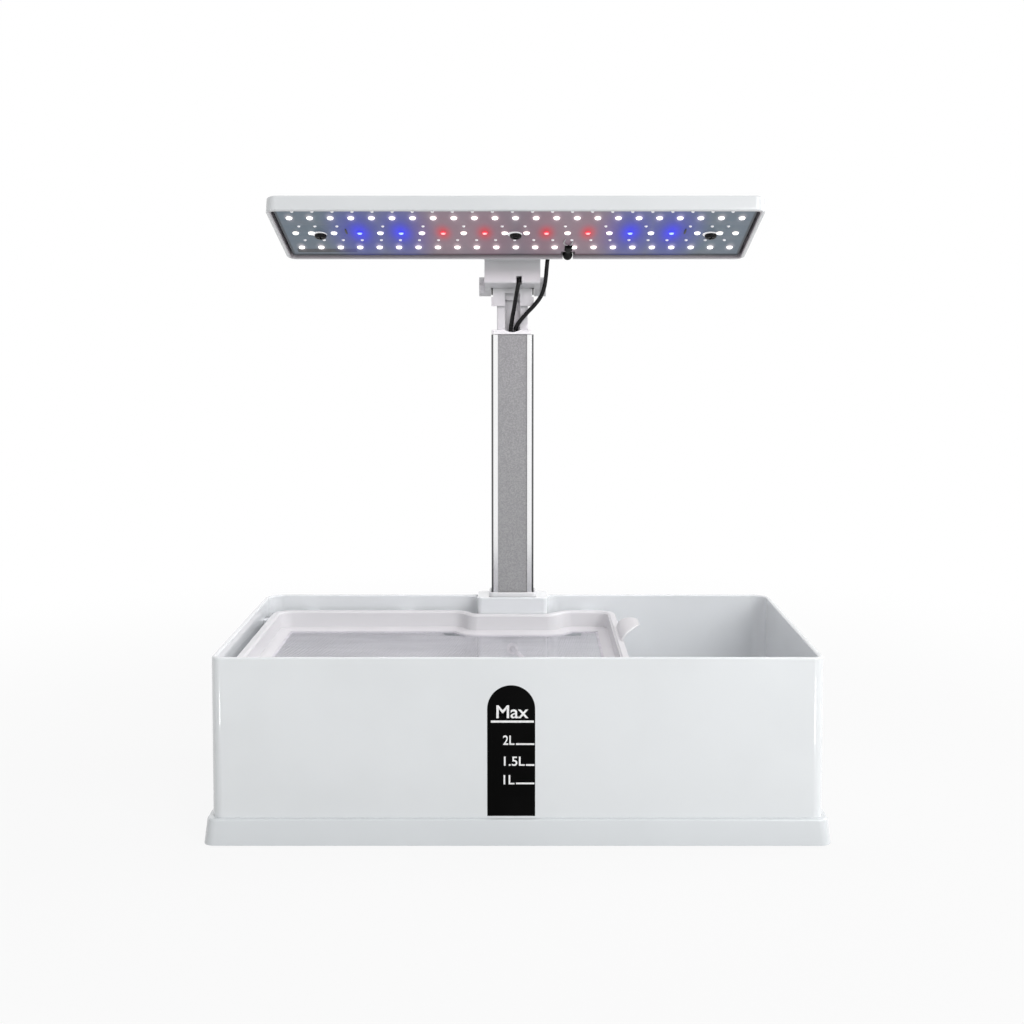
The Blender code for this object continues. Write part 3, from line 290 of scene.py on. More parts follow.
postSettings = {
    "middle": -3.3 * mm,
    "half": 13.2 * mm,
    "front": 69.5 * mm,
    "back": 84.5 * mm,
    "low": 74 * mm,
    "top": 264.6 * mm,
    "corner": 1.6 * mm,
    "panelHalf": 9.15 * mm,
    "panelSlope": 0.25 * mm,
    "panelDepth": 0.8 * mm,
}


def postAluminium():
    # drawn aluminium: polished strips beside a bead-blasted panel
    finish = Finish("postAluminium")
    where = finish.place()
    x, y, z = finish.split(where)
    aside = abs(x - postSettings["middle"])
    inPanel = (postSettings["panelHalf"] - aside).rise(-0.1 * mm, 0.2 * mm)
    inPanel = inPanel * y.rise(69.7 * mm, 70.0 * mm) * (1 - y.rise(70.6 * mm, 71.0 * mm))
    speckle = finish.noise(where, 1500, 3, 0.7)
    blotch = finish.noise(finish.place(scale=(1, 1, 0.35)), 220, 2)
    drawn = finish.noise(finish.place(scale=(1, 1, 0.01)), 2500, 2)
    upward = z.rise(100 * mm, 265 * mm)
    blasted = finish.blendColours(speckle.rise(0.35, 0.7), (0.23, 0.23, 0.24), (0.47, 0.47, 0.475))
    # painted shade: the blasted panel is darker towards the top
    shade = finish.blendColours(upward, (0.38, 0.38, 0.38), (0.27, 0.27, 0.275))
    blasted = finish.blendColours(0.5, blasted, shade)
    polished = finish.blendColours(drawn, (0.86, 0.86, 0.87), (0.95, 0.95, 0.95))
    # painted dark reflection on the rounded corners beside the strips
    edge = aside.rise(11.7 * mm, 12.3 * mm) * (1 - y.rise(70.6 * mm, 71.2 * mm))
    polished = finish.blendColours(edge, polished, (0.10, 0.10, 0.105))
    # sides and back are satin
    behind = y.rise(72 * mm, 74 * mm)
    polished = finish.blendColours(behind, polished, (0.50, 0.505, 0.51))
    finish.set(
        Base_Color=finish.blendColours(inPanel, polished, blasted),
        Metallic=1 - 0.55 * inPanel,
        Roughness=0.20 + 0.34 * inPanel + 0.08 * speckle * inPanel + 0.06 * blotch + 0.2 * behind,
    )
    return finish.bump(speckle * inPanel + drawn * 0.15 * (1 - inPanel), 0.35, 0.00008)


def screwSteel():
    finish = Finish("screwSteel")
    where = finish.place()
    scratch = finish.noise(where, 1800, 3, 0.6)
    stain = finish.noise(where, 300, 2)
    colour = (0.62, 0.62, 0.63)
    darker = tuple(part * 0.7 for part in colour)
    finish.set(
        Base_Color=finish.blendColours(stain.rise(0.35, 0.7), darker, colour),
        Metallic=0.95,
        Roughness=0.25 + 0.12 * scratch,
    )
    return finish.bump(scratch, 0.2, 0.00004)


def netGrey():
    finish = Finish("netGrey")
    where = finish.place()
    thread = finish.noise(where, 1400, 2)
    cloud = finish.noise(finish.place(turn=(0, 0, 0.6), scale=(1, 3.5, 1)), 30, 3)
    finish.set(
        Base_Color=finish.blendColours(
            cloud.rise(0.3, 0.7) * 0.7 + 0.3 * thread, (0.58, 0.565, 0.605), (0.77, 0.755, 0.80)
        ),
        Roughness=0.5 + 0.2 * thread,
    )
    return finish.bump(thread, 0.3, 0.00006)


lampSettings = {
    "halfWidth": 139.4 * mm,
    "offset": 2.1 * mm,
    "front": -107.8 * mm,
    "rear": -24.3 * mm,
    "under": 9.5 * mm,
    "top": 18.5 * mm,
    "corner": 6 * mm,
    "wall": 2.6 * mm,
    "roof": 1.8 * mm,
    "topEdge": 1.2 * mm,
    "rim": 0.7 * mm,
}

ledSettings = {
    "seat": 11.05 * mm,
    "columns": 23,
    "pitch": 11.648 * mm,
    "rowsEven": inMm(15.7, 64.5),
    "rowMiddle": 40.1 * mm,
    "middleShares": (0.0228, 0.0644, 0.1085, 0.1512, 0.1957, 0.2391, 0.2826, 0.3256, 0.3794, 0.4267, 0.4594),
    "blueShares": (-0.3256, -0.2391, 0.2391, 0.3256),
    "redShares": (-0.1512, -0.0644, 0.0644, 0.1512),
}


def ledPlaces(kind):
    # centres of the chips of one colour, in the level lamp
    s, lamp = ledSettings, lampSettings
    width = 2 * lamp["halfWidth"]
    even = [s["pitch"] * (column - (s["columns"] - 1) / 2) for column in range(s["columns"])]
    coloured = {"blue": s["blueShares"], "red": s["redShares"]}
    if kind in coloured:
        places = [(width * share, s["rowMiddle"]) for share in coloured[kind]]
    else:
        taken = s["blueShares"] + s["redShares"]
        middle = [side * share for share in s["middleShares"] for side in (-1, 1)]
        places = [(x, row) for row in s["rowsEven"] for x in even]
        places += [(width * share, s["rowMiddle"]) for share in middle if share not in taken]
    return [(lamp["offset"] + x, lamp["front"] + row) for x, row in places]


boardSettings = {
    "inset": 4.0 * mm,
    "low": 11.0 * mm,
    "high": 12.6 * mm,
    "corner": 2.2 * mm,
    "reach": {"blue": 10 * mm, "red": 8 * mm},
    # reach of the painted wide spill of the chips' light
    "spillReach": 24 * mm,
    # reach of the painted glow round the white chips
    "whiteGlowReach": 4.6 * mm,
    "flatten": 0.40,  # the glows are longer from front to rear
    "dusk": (0.13, 0.19, 0.25),
    # painted warm light of the red chips over the board's middle
    "paintedWarmLight": (0.36, 0.285, 0.345),
    "strip": (inMm(-131.5, -96), inMm(67.8, 74.0)),
}


def glowAt(finish, x, y, place, reach, power=1.5):
    # 1 at a chip, 0 from its reach on
    across, along = x - place[0], (y - place[1]) * boardSettings["flatten"]
    gap = (across * across + along * along) ** 0.5
    return (1 - gap.rise(0.2 * mm, reach)) ** power


def brightest(signals):
    total = signals[0]
    for signal in signals[1:]:
        total = total.most(signal)
    return total


def boardBlue():
    # blue-grey solder mask, with painted red light warming its middle and painted glows round the lit chips
    s, lamp = boardSettings, lampSettings
    finish = Finish("boardBlue")
    where = lampPlace(finish)
    x, y, z = finish.split(where)
    side = abs(x - lamp["offset"])
    # painted light of the red chips, warming the board's middle
    paintedWarmShare = 1 - side.rise(15 * mm, 105 * mm)
    weave = finish.noise(where, 700, 3)
    cloud = finish.noise(where, 40, 3)
    base = finish.blendColours(paintedWarmShare, s["dusk"], s["paintedWarmLight"])
    base = finish.blendColours(cloud.rise(0.3, 0.7) * 0.3, base, (0.22, 0.23, 0.27))
    # copper lanes under the mask
    lane = (y - lamp["front"]).repeat(24.4 * mm)
    lanes = (1 - lane.rise(3.2 * mm, 3.5 * mm)) * 0.10
    base = finish.blendColours(lanes, base, (0.36, 0.36, 0.40))
    # a dark strip at the rear and painted shade beside the rim
    (left, right), (near, far) = s["strip"]
    away = y - lamp["front"]
    dim = (x - lamp["offset"]).above(left) * (1 - (x - lamp["offset"]).above(right))
    dim = dim * away.above(near) * (1 - away.above(far)) * 0.85
    half, length = lamp["halfWidth"] - s["inset"], lamp["rear"] - lamp["front"]
    rim = side.rise(half - 1.9 * mm, half - 0.9 * mm)
    rim = rim.most(away.rise(length - s["inset"] - 4.0 * mm, length - s["inset"] - 2.0 * mm))
    base = finish.blendColours(dim.most(rim * 0.8), base, (0.02, 0.022, 0.028))
    # painted light of the blue and red chips on the board: a wide spill and a close glow round each chip
    glow, paintedSpill = {}, {}
    for kind, reach in s["reach"].items():
        places = ledPlaces(kind)
        glow[kind] = brightest([glowAt(finish, x, y, place, reach) for place in places])
        paintedSpill[kind] = brightest([glowAt(finish, x, y, place, s["spillReach"], 0.8) for place in places])
    # a faint painted glow round the white chips of the even rows
    step = (x - lamp["offset"]).repeat(ledSettings["pitch"])
    rows = ledSettings["rowsEven"]
    paintedWhiteGlow = brightest([glowAt(finish, step, away, (0, row), s["whiteGlowReach"], 2.0) for row in rows])
    # the painted spill and glows, put into the board's colour
    base = finish.blendColours(paintedSpill["blue"] * 0.95, base, (0.035, 0.045, 0.55))
    base = finish.blendColours(paintedSpill["red"] * 0.35, base, (0.50, 0.13, 0.20))
    base = finish.blendColours(glow["blue"], base, (0.012, 0.015, 0.75))
    base = finish.blendColours(glow["red"] * 0.9, base, (0.58, 0.02, 0.04))
    # the painted glows, also given off as light by the board, which is no lamp
    light = finish.blendColours(paintedWhiteGlow, (0, 0, 0), (0.50, 0.42, 0.44))
    light = finish.blendColours(glow["blue"], light, (0.02, 0.02, 0.65))
    light = finish.blendColours(glow["red"], light, (0.40, 0.01, 0.02))
    finish.set(Base_Color=base, Roughness=0.42 + 0.12 * weave, Emission_Color=light, Emission_Strength=0.5)
    return finish.bump(weave + lanes * 4, 0.3, 0.00006)


def lampShell():
    # the lamp's white moulding, with painted shade making it greyer inside its rim
    finish = Finish("lampShell")
    s = lampSettings
    where = lampPlace(finish)
    x, y, z = finish.split(where)
    colour, roughness, coat = mouldedSettings["lampWhite"]
    inside = 1 - abs(x - s["offset"]).rise(s["halfWidth"] - 2.2 * mm, s["halfWidth"] - 1.6 * mm)
    inside = inside * y.rise(s["front"] + 1.6 * mm, s["front"] + 2.2 * mm)
    inside = inside * (1 - y.rise(s["rear"] - 2.2 * mm, s["rear"] - 1.6 * mm)) * (1 - z.above(17.2 * mm))
    grain = finish.noise(where, 900, 2)
    cloud = finish.noise(where, 14, 3)
    # painted grey shade on the faces inside the rim
    paintedInnerShade = finish.blendColours(cloud, (0.34, 0.31, 0.34), (0.48, 0.45, 0.48))
    finish.set(
        Base_Color=finish.blendColours(inside, mouldedTone(finish, cloud, colour), paintedInnerShade),
        Roughness=roughness + 0.06 * cloud + 0.03 * grain + 0.1 * inside,
        Coat_Weight=coat,
        Coat_Roughness=0.04,
    )
    return finish.bump(grain * 0.12 + finish.noise(where, 45, 2), 0.25, 0.00006)


lensSettings = {
    # colour over its middle, colour at its foot, strength
    "ledWhite": ((1.0, 1.0, 0.98), (1.0, 0.93, 0.86), 1.6),
    "ledBlue": ((0.42, 0.62, 1.0), (0.05, 0.05, 1.0), 1.5),
    "ledRed": ((1.0, 0.50, 0.50), (1.0, 0.02, 0.05), 1.4),
}


def glowing(finish, grain, colour, roughness, strength):
    # what a lit chip and a chip with a painted glint share
    finish.set(
        Base_Color=colour,
        Roughness=roughness + 0.1 * grain,
        Emission_Color=colour,
        Emission_Strength=strength,
    )
    return finish.bump(grain, 0.1, 0.00003)


def ledLens(name):
    # a lit chip: bright over its middle, tinted towards its foot
    lit, ring, strength = lensSettings[name]
    finish = Finish(name)
    where = lampPlace(finish)
    x, y, z = finish.split(where)
    depth = 1 - z.rise(9.6 * mm, 11.0 * mm)
    grain = finish.noise(where, 2500, 2)
    return glowing(finish, grain, finish.blendColours(depth, ring, lit), 0.25, strength)


# painted glint: small chips and pads that glow, though they are no lamps
def paintedGlintChip():
    finish = Finish("paintedGlintChip")
    grain = finish.noise(finish.place(), 2500, 2)
    colour = finish.blendColours(grain, (0.85, 0.84, 0.88), (1.0, 1.0, 1.0))
    return glowing(finish, grain, colour, 0.35, 0.35)


def circuitGreen():
    finish = Finish("circuitGreen")
    where = finish.place()
    weave = finish.noise(where, 900, 3)
    finish.set(
        Base_Color=finish.blendColours(weave.rise(0.4, 0.6), (0.02, 0.14, 0.07), (0.05, 0.24, 0.12)),
        Roughness=0.4 + 0.15 * weave,
    )
    return finish.bump(weave, 0.3, 0.00005)


finishes = {name: mouldedPlastic(name) for name in mouldedSettings}
finishes.update({name: rubber(name) for name in rubberSettings})
finishes.update({name: ledLens(name) for name in lensSettings})
for makeFinish in (
    scaleBlack, markWhite, postAluminium, screwSteel, netGrey, boardBlue, lampShell, paintedGlintChip, circuitGreen,
):
    finishes[makeFinish.__name__] = makeFinish()
print("finishes made:", len(finishes))


def deselect():
    bpy.ops.object.select_all(action="DESELECT")


def activate(piece):
    deselect()
    piece.select_set(True)
    bpy.context.view_layer.objects.active = piece


def editing(piece):
    activate(piece)
    bpy.ops.object.mode_set(mode="EDIT")


def done():
    bpy.ops.object.mode_set(mode="OBJECT")


def settle(piece):
    # puts the piece's place, turn and size into its mesh
    activate(piece)
    bpy.ops.object.transform_apply(location=True, rotation=True, scale=True)
    return piece


def startBox(name, low, high):
    deselect()
    low, high = Vector(low), Vector(high)
    bpy.ops.mesh.primitive_cube_add(size=1, location=(low + high) / 2, scale=high - low)
    bpy.context.object.name = name
    return settle(bpy.context.object)


def startRound(name, centre, radius, length, axis="z", sides=48):
    deselect()
    turn = {"x": (0, math.pi / 2, 0), "y": (math.pi / 2, 0, 0), "z": (0, 0, 0)}[axis]
    size = {"vertices": sides, "radius": radius, "depth": length}
    bpy.ops.mesh.primitive_cylinder_add(location=centre, rotation=turn, **size)
    bpy.context.object.name = name
    return settle(bpy.context.object)


def pick(kind, test):
    # selects what passes the test: faces by middle and normal, edges by ends, points by place
    shape = bpy.context.edit_object.data
    bpy.ops.mesh.select_mode(type=kind)
    bpy.ops.mesh.select_all(action="DESELECT")
    bm = bmesh.from_edit_mesh(shape)
    if kind == "FACE":
        for face in bm.faces:
            face.select_set(test(face.calc_center_median(), face.normal))
    elif kind == "EDGE":
        for edge in bm.edges:
            edge.select_set(test(edge.verts[0].co, edge.verts[1].co))
    else:
        for point in bm.verts:
            point.select_set(test(point.co))
    bm.select_flush_mode()
    bmesh.update_edit_mesh(shape)


def facingUp(middle, normal):
    return normal.z > 0.9


def facingDown(middle, normal):
    return normal.z < -0.9


def upright(a, b):
    return abs(a.x - b.x) < tiny and abs(a.y - b.y) < tiny and abs(a.z - b.z) > tiny


def atHeight(height):
    return lambda a, b: abs(a.z - height) < tiny and abs(b.z - height) < tiny


def rimAt(height, wall):
    # the edges along a rim, without those that cross its wall at a corner
    level = atHeight(height)
    return lambda a, b: level(a, b) and abs((a - b).length - wall) > 0.1 * mm


def bevel(width, segments, affect="EDGES"):
    bpy.ops.mesh.bevel(offset=width, segments=segments, profile=0.5, affect=affect, clamp_overlap=False)


def extrude(x, y, z):
    bpy.ops.mesh.extrude_region_move(TRANSFORM_OT_translate={"value": (x, y, z)})


def applyModifier(piece, kind, **settings):
    modifier = piece.modifiers.new(kind, kind)
    for name, value in settings.items():
        setattr(modifier, name, value)
    activate(piece)
    bpy.ops.object.modifier_apply(modifier=modifier.name)


def combine(piece, tool, operation="DIFFERENCE"):
    applyModifier(piece, "BOOLEAN", operation=operation, solver="EXACT", object=tool)
    bpy.data.objects.remove(tool)


def joinPieces(name, pieces):
    activate(pieces[0])
    for piece in pieces[1:]:
        piece.select_set(True)
    bpy.ops.object.join()
    bpy.context.object.name = name
    return bpy.context.object


def copyOf(piece, name):
    made = bpy.data.objects.new(name, piece.data.copy())
    bpy.context.scene.collection.objects.link(made)
    return made


def rotateWithLamp(piece):
    piece.matrix_world = lampTurn @ piece.matrix_world
    return settle(piece)


def roundEdges(piece, width, segments=2, angle=35):
    limit = {"limit_method": "ANGLE", "angle_limit": math.radians(angle), "harden_normals": False}
    applyModifier(piece, "BEVEL", width=width, segments=segments, **limit)


def roundAt(piece, height, width, segments=3):
    # rounds the level edges at one height
    editing(piece)
    pick("EDGE", atHeight(height))
    bevel(width, segments)
    done()


def dress(piece, finish, slot, body, *nodes, weighted=True, angle=35):
    # smooth shading, then the finish and body, and the nodes that the piece stands for
    activate(piece)
    bpy.ops.object.shade_smooth_by_angle(angle=math.radians(angle))
    if weighted:
        applyModifier(piece, "WEIGHTED_NORMAL", keep_sharp=True, weight=80)
    piece.data.materials.clear()
    piece.data.materials.append(finishes[finish])
    if body:
        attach(piece, body)
    if nodes:
        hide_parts(*nodes)


def roundedBox(name, low, high, corner, segments=6, backCorner=None):
    # a box with its upright edges rounded, at the back by a radius of its own if need be
    piece = startBox(name, low, high)
    middle = (low[1] + high[1]) / 2
    editing(piece)
    pick("EDGE", lambda a, b: upright(a, b) and a.y < middle)
    bevel(corner, segments)
    pick("EDGE", lambda a, b: upright(a, b) and a.y > middle)
    bevel(backCorner or corner, segments)
    done()
    return piece


def softCopies(settings):
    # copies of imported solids, with their doubles merged and their edges rounded
    for name, (node, width, segments, finish, slot, body) in settings.items():
        piece = copyOf(cadNodes[node], name)
        editing(piece)
        bpy.ops.mesh.select_all(action="SELECT")
        bpy.ops.mesh.remove_doubles(threshold=0.000002)
        bpy.ops.mesh.dissolve_limited(angle_limit=math.radians(1))
        done()
        roundEdges(piece, width, segments, 40)
        dress(piece, finish, slot, body, node)
leadSettings = {
    "radius": 1.3 * mm,
    "switchRoute": (
        (-4.4, 75.3, 130.0), (-4.4, 75.3, 200.0), (-4.4, 75.3, 256.0), (-4.4, 75.0, 266.4),
        (-3.7, 72.6, 273.5), (-2.4, 69.0, 280.5), (-1.2, 65.0, 287.5), (-0.2, 62.4, 293.0),
        (0.5, 62.03, 295.97), (0.8, 63.15, 299.7),
    ),
    "lampRoute": (
        (-1.3, 75.3, 130.0), (-1.3, 75.3, 200.0), (-1.3, 75.3, 256.0), (-1.3, 75.1, 266.4),
        (-0.6, 73.0, 270.2), (2.1, 70.7, 273.9), (5.8, 69.7, 278.2), (10.1, 69.0, 282.7),
        (14.0, 68.4, 287.8), (16.3, 68.1, 293.5), (17.4, 68.0, 300.0), (18.0, 68.0, 306.5),
        (18.8, 68.1, 312.2), (21.4, 68.2, 315.6), (24.9, 67.9, 316.3), (28.1, 66.8, 315.0),
        (29.9, 64.5, 313.1), (30.5, 61.3, 312.35), (30.5, 59.0, 313.06), (30.5, 54.12, 314.52),
        (30.5, 49.8, 315.82),
    ),
    "step": 1.2 * mm,
    "seam": {"switchRoute": 5, "lampRoute": 8},
}


def curvePoints(route, step):
    places = [Vector(point) * mm for point in route]  # routes are written in mm
    places = [2 * places[0] - places[1]] + places + [2 * places[-1] - places[-2]]
    points, marks = [places[1]], [0]
    for a, b, c, d in zip(places, places[1:], places[2:], places[3:]):
        count = max(2, round((c - b).length / step))
        for i in range(1, count + 1):
            t = i / count
            bend = (2 * a - 5 * b + 4 * c - d) * t**2 + (3 * b - a - 3 * c + d) * t**3
            points.append((2 * b + (c - a) * t + bend) / 2)
        marks.append(len(points) - 1)
    return points, marks


def leadPiece(name, points, radius):
    curve = bpy.data.curves.new(name, "CURVE")
    curve.dimensions = "3D"
    curve.bevel_depth = radius
    curve.bevel_resolution = 6
    curve.use_fill_caps = True
    spline = curve.splines.new("POLY")
    spline.points.add(len(points) - 1)
    for point, place in zip(spline.points, points):
        point.co = (*place, 1)
    piece = bpy.data.objects.new(name, curve)
    bpy.context.scene.collection.objects.link(piece)
    activate(piece)
    bpy.ops.object.convert(target="MESH")
    return bpy.context.object


def makeLeads():
    # two pieces each, which meet on the neck: one bends from post to neck, one from neck to lamp
    for name, node, route, ends in (
        ("switchLead", "switch_lead", "switchRoute", ((-2.3, 68.7, 281.0), (0.5, 62.03, 295.6))),
        ("lampLead", "lamp_lead", "lampRoute", ((14.1, 68.4, 288.3), (30.2, 62.5, 312.3))),
    ):
        points, marks = curvePoints(leadSettings[route], leadSettings["step"])
        seam = marks[leadSettings["seam"][route]]
        lower = leadPiece(name + "Lower", points[: seam + 1], leadSettings["radius"])
        upper = leadPiece(name + "Upper", points[seam:], leadSettings["radius"])
        for piece in (lower, upper):
            dress(piece, "leadBlack", "rubber_black", None, weighted=False, angle=60)
            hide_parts(node)
        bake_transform(lower)
        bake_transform(upper)


makeLeads()
print("leads made")


tankSettings = {
    "half": inMm(160, 85),
    "low": 8.9 * mm,
    "top": 98.5 * mm,
    "wall": 2.8 * mm,
    "floor": 11.7 * mm,
    "corners": inMm(6, 12),  # front, back
    "rim": 1.0 * mm,
    "floorFillet": 2.5 * mm,
    "column": {"left": -25.3 * mm, "right": 18.7 * mm, "front": 66 * mm, "back": 89 * mm, "top": 100 * mm},
    "columnCorner": 3 * mm,
    "fillet": 7.5 * mm,
    "skirtTop": 14.3 * mm,
    "sideRibs": inMm(-62, 58),
    "endRibs": inMm(-130, -70, 45),
    # height, radius of the recess, radius of the hole, depth of the recess
    "backHoles": (inMm(83.1, 3.1, 1.8, 1.8), inMm(92.72, 3.1, 1.8, 1.8), inMm(33.0, 5.8, 4.3, 1.5)),
}


skirtSettings = {
    "foot": inMm(164.1, 89.1),
    "top": inMm(162.5, 87.5),
    "low": 0.5 * mm,
    "high": 14 * mm,
    "topEdge": 1.1 * mm,
    "lowEdge": 0.5 * mm,
    "clear": 0.05 * mm,
    "plate": 2.7 * mm,
    "feet": inMm(136, 61),
    "screws": inMm(114, 61),
}


def fourPlaces(x, y):
    return {
        "front_left": (-x, -y), "front_right": (x, -y), "back_left": (-x, y), "back_right": (x, y),
    }


def makeTank():
    s = tankSettings
    halfX, halfY = s["half"]
    low, high = (-halfX, -halfY, s["low"]), (halfX, halfY, s["top"])
    tank = roundedBox("tankShell", low, high, s["corners"][0], 12, s["corners"][1])
    editing(tank)
    pick("FACE", facingUp)
    bpy.ops.mesh.inset(thickness=s["wall"], depth=0)
    extrude(0, 0, s["floor"] - s["top"])
    pick("EDGE", atHeight(s["floor"]))
    bevel(s["floorFillet"], 5)
    pick("EDGE", rimAt(s["top"], s["wall"]))
    bevel(s["rim"], 3)
    done()
    c = s["column"]
    low, high = (c["left"], c["front"], s["low"] + 1 * mm), (c["right"], c["back"], c["top"])
    column = roundedBox("column", low, high, s["columnCorner"])
    roundAt(column, c["top"], 0.8 * mm)
    below = startBox("below", (-0.05, halfY + 0.3 * mm, 0), (0.05, halfY + 10 * mm, s["skirtTop"]))
    combine(column, below)
    inner = halfY - s["wall"]
    for edge, side in ((c["left"], -1), (c["right"], 1)):
        reach = s["fillet"]
        corner = startBox(
            "corner",
            (min(edge + side * reach, edge - side * mm), inner - reach, s["floor"] + 1 * mm),
            (max(edge + side * reach, edge - side * mm), inner + mm, s["top"] - s["rim"]),
        )
        hollow = startRound("hollow", (edge + side * reach, inner - reach, 50 * mm), reach, 0.2, sides=96)
        combine(corner, hollow)
        combine(column, corner, "UNION")
    for place in s["sideRibs"]:
        rib = startBox(
            "rib", (-halfX + mm, place - 4 * mm, 83.1 * mm), (-151.0 * mm, place + 4 * mm, 88.1 * mm)
        )
        combine(column, rib, "UNION")
    for place in s["endRibs"]:
        for low, high in ((-halfY + mm, -75.6 * mm), (73.6 * mm, halfY - mm)):
            rib = startBox("rib", (place - 4 * mm, low, 83.1 * mm), (place + 4 * mm, high, 88.1 * mm))
            combine(column, rib, "UNION")
    combine(tank, column, "UNION")
    socket = roundedBox("socket", inMm(-18.1, 67.9, 73.4), inMm(11.5, 86.1, 120), 3.2 * mm)
    combine(tank, socket)
    combine(tank, startBox("channel", inMm(-13.3, 69, 0), inMm(6.7, 82.2, 70.4)))
    combine(tank, startBox("channel", inMm(-13.3, 69, 17), inMm(6.7, 86, 70.4)))
    combine(tank, startBox("wires", inMm(-9.3, 73, 70), inMm(2.7, 81, 74)))
    combine(tank, startRound("pumpHole", inMm(-3.3, 67.5, 68), 2.9 * mm, 5 * mm, "y", 32))
    for x, y in fourPlaces(*skirtSettings["screws"]).values():
        combine(tank, startRound("boss", (x, y, 7.2 * mm), 4.2 * mm, 8.4 * mm, sides=32), "UNION")
        combine(tank, startRound("bossHole", (x, y, 5.4 * mm), 1.8 * mm, 7 * mm, sides=24))
    middle = postSettings["middle"]
    for height, outer, inside, depth in s["backHoles"]:
        combine(tank, startRound("wide", (middle, 94 * mm - depth, height), outer, 10 * mm, "y"))
        combine(tank, startRound("narrow", (middle, 89 * mm, height), inside, 14 * mm, "y"))
    dress(tank, "tankWhite", "tank_white", "base", "tank_body")


makeTank()
print("tank made")


def makeSkirt():
    s, tank = skirtSettings, tankSettings
    footX, footY = s["foot"]
    topX, topY = s["top"]
    low, high = (-footX, -footY, s["low"]), (footX, footY, s["high"])
    skirt = roundedBox("baseSkirt", low, high, tank["corners"][0], 12, tank["corners"][1])
    editing(skirt)
    pick("VERT", lambda place: place.z > s["high"] - tiny)
    bpy.ops.transform.resize(value=(topX / footX, topY / footY, 1), center_override=(0, 0, s["high"]))
    pick("EDGE", atHeight(s["high"]))
    bevel(s["topEdge"], 4)
    pick("EDGE", atHeight(s["low"]))
    bevel(s["lowEdge"], 2)
    done()
    halfX, halfY = (size + s["clear"] for size in tank["half"])
    low, high = (-halfX, -halfY, s["plate"]), (halfX, halfY, s["high"] + mm)
    combine(skirt, roundedBox("hollow", low, high, tank["corners"][0], 12, tank["corners"][1]))
    for x, y in fourPlaces(*s["feet"]).values():
        combine(skirt, startRound("seat", (x, y, 5.5 * mm), 8 * mm, 6.2 * mm, sides=64), "UNION")
        combine(skirt, startRound("recess", (x, y, 0), 8.3 * mm, 2.6 * mm, sides=64))
    for x, y in fourPlaces(*s["screws"]).values():
        combine(skirt, startRound("recess", (x, y, 0), 3.0 * mm, 3.6 * mm))
        combine(skirt, startRound("hole", (x, y, 0), 1.8 * mm, 12 * mm, sides=32))
    dress(skirt, "skirtWhite", "base_white", "base", "base_skirt")


footSettings = {
    "radius": 8 * mm,
    "height": 1.0 * mm,
    "border": 2.2 * mm,
    "hollow": 0.3 * mm,
    "edge": 0.3 * mm,
}


def makeFoot(corner, x, y):
    s = footSettings
    centre, size = (x, y, s["height"] / 2), (s["radius"], s["height"])
    foot = startRound("foot_" + corner.replace("_", "."), centre, *size, sides=64)

    def atRim(point):
        return point.z < tiny and math.dist(point[:2], (x, y)) > s["radius"] - 0.1 * mm

    editing(foot)
    pick("FACE", facingDown)
    bpy.ops.mesh.inset(thickness=s["border"], depth=0)
    bpy.ops.mesh.inset(thickness=s["hollow"], depth=-s["hollow"])
    pick("EDGE", lambda a, b: atRim(a) and atRim(b))
    bevel(s["edge"], 3)
    done()
    dress(foot, "blackRubber", "rubber_black", "base", "foot_" + corner)


screwSettings = {
    # radius and height of the head, radius and length of the shank
    "baseScrew": inMm(2.7, 1.0, 1.5, 7.1),
    "postScrew": inMm(2.8, 1.5, 1.5, 5.5),
    "yokeScrew": inMm(2.6, 1.4, 1.4, 4.0),
    "boardScrew": inMm(3.5, 2.0, 1.2, 4.5),
}


def makeScrew(name):
    # head up along z with its seat at 0, cross recess in its top
    head, height, shank, length = screwSettings[name]
    domed = name == "boardScrew"
    screw = startRound(name, (0, 0, height / 2), head, height, sides=40)
    editing(screw)
    pick("EDGE", atHeight(height))
    bevel(height * (0.7 if domed else 0.25), 4 if domed else 2)
    pick("FACE", facingDown)
    bpy.ops.mesh.inset(thickness=head - shank, depth=0)
    extrude(0, 0, -length)
    done()
    long, thin, deep = head * 0.62, head * 0.14, height * 0.55
    for halfX, halfY in ((long, thin), (thin, long)):
        slot = startBox("slot", (-halfX, -halfY, height - deep), (halfX, halfY, height + mm))
        combine(screw, slot)
    return screw


def placeScrews(name, direction, places, finish, slot, body):
    # one screw is made, and a copy of it set in each node's seat with a turn of its own
    pattern = makeScrew(name)
    upward = Vector((0, 0, 1)).rotation_difference(Vector(direction)).to_matrix().to_4x4()
    for number, (node, (seat, turn)) in enumerate(places.items()):
        screw = copyOf(pattern, f"{name}.{number + 1}")
        screw.matrix_world = Matrix.Translation(Vector(seat)) @ upward @ Matrix.Rotation(turn, 4, "Z")
        dress(settle(screw), finish, slot, body, node)
    bpy.data.objects.remove(pattern)


makeSkirt()
for corner, (footX, footY) in fourPlaces(*skirtSettings["feet"]).items():
    makeFoot(corner, footX, footY)
baseScrews = {}
for number, (corner, place) in enumerate(fourPlaces(*skirtSettings["screws"]).items()):
    baseScrews["base_screw_" + corner] = ((*place, 1.5 * mm), 0.4 + number)
placeScrews("baseScrew", (0, 0, -1), baseScrews, "screwSteel", "screw_steel", "base")
postScrews = {"post_screw_1": (inMm(-3.3, 87.5, 83.1), 0.9), "post_screw_2": (inMm(-3.3, 87.5, 92.72), 1.9)}
placeScrews("postScrew", (0, 1, 0), postScrews, "screwSteel", "screw_steel", "base")
print("skirt, feet and screws made")
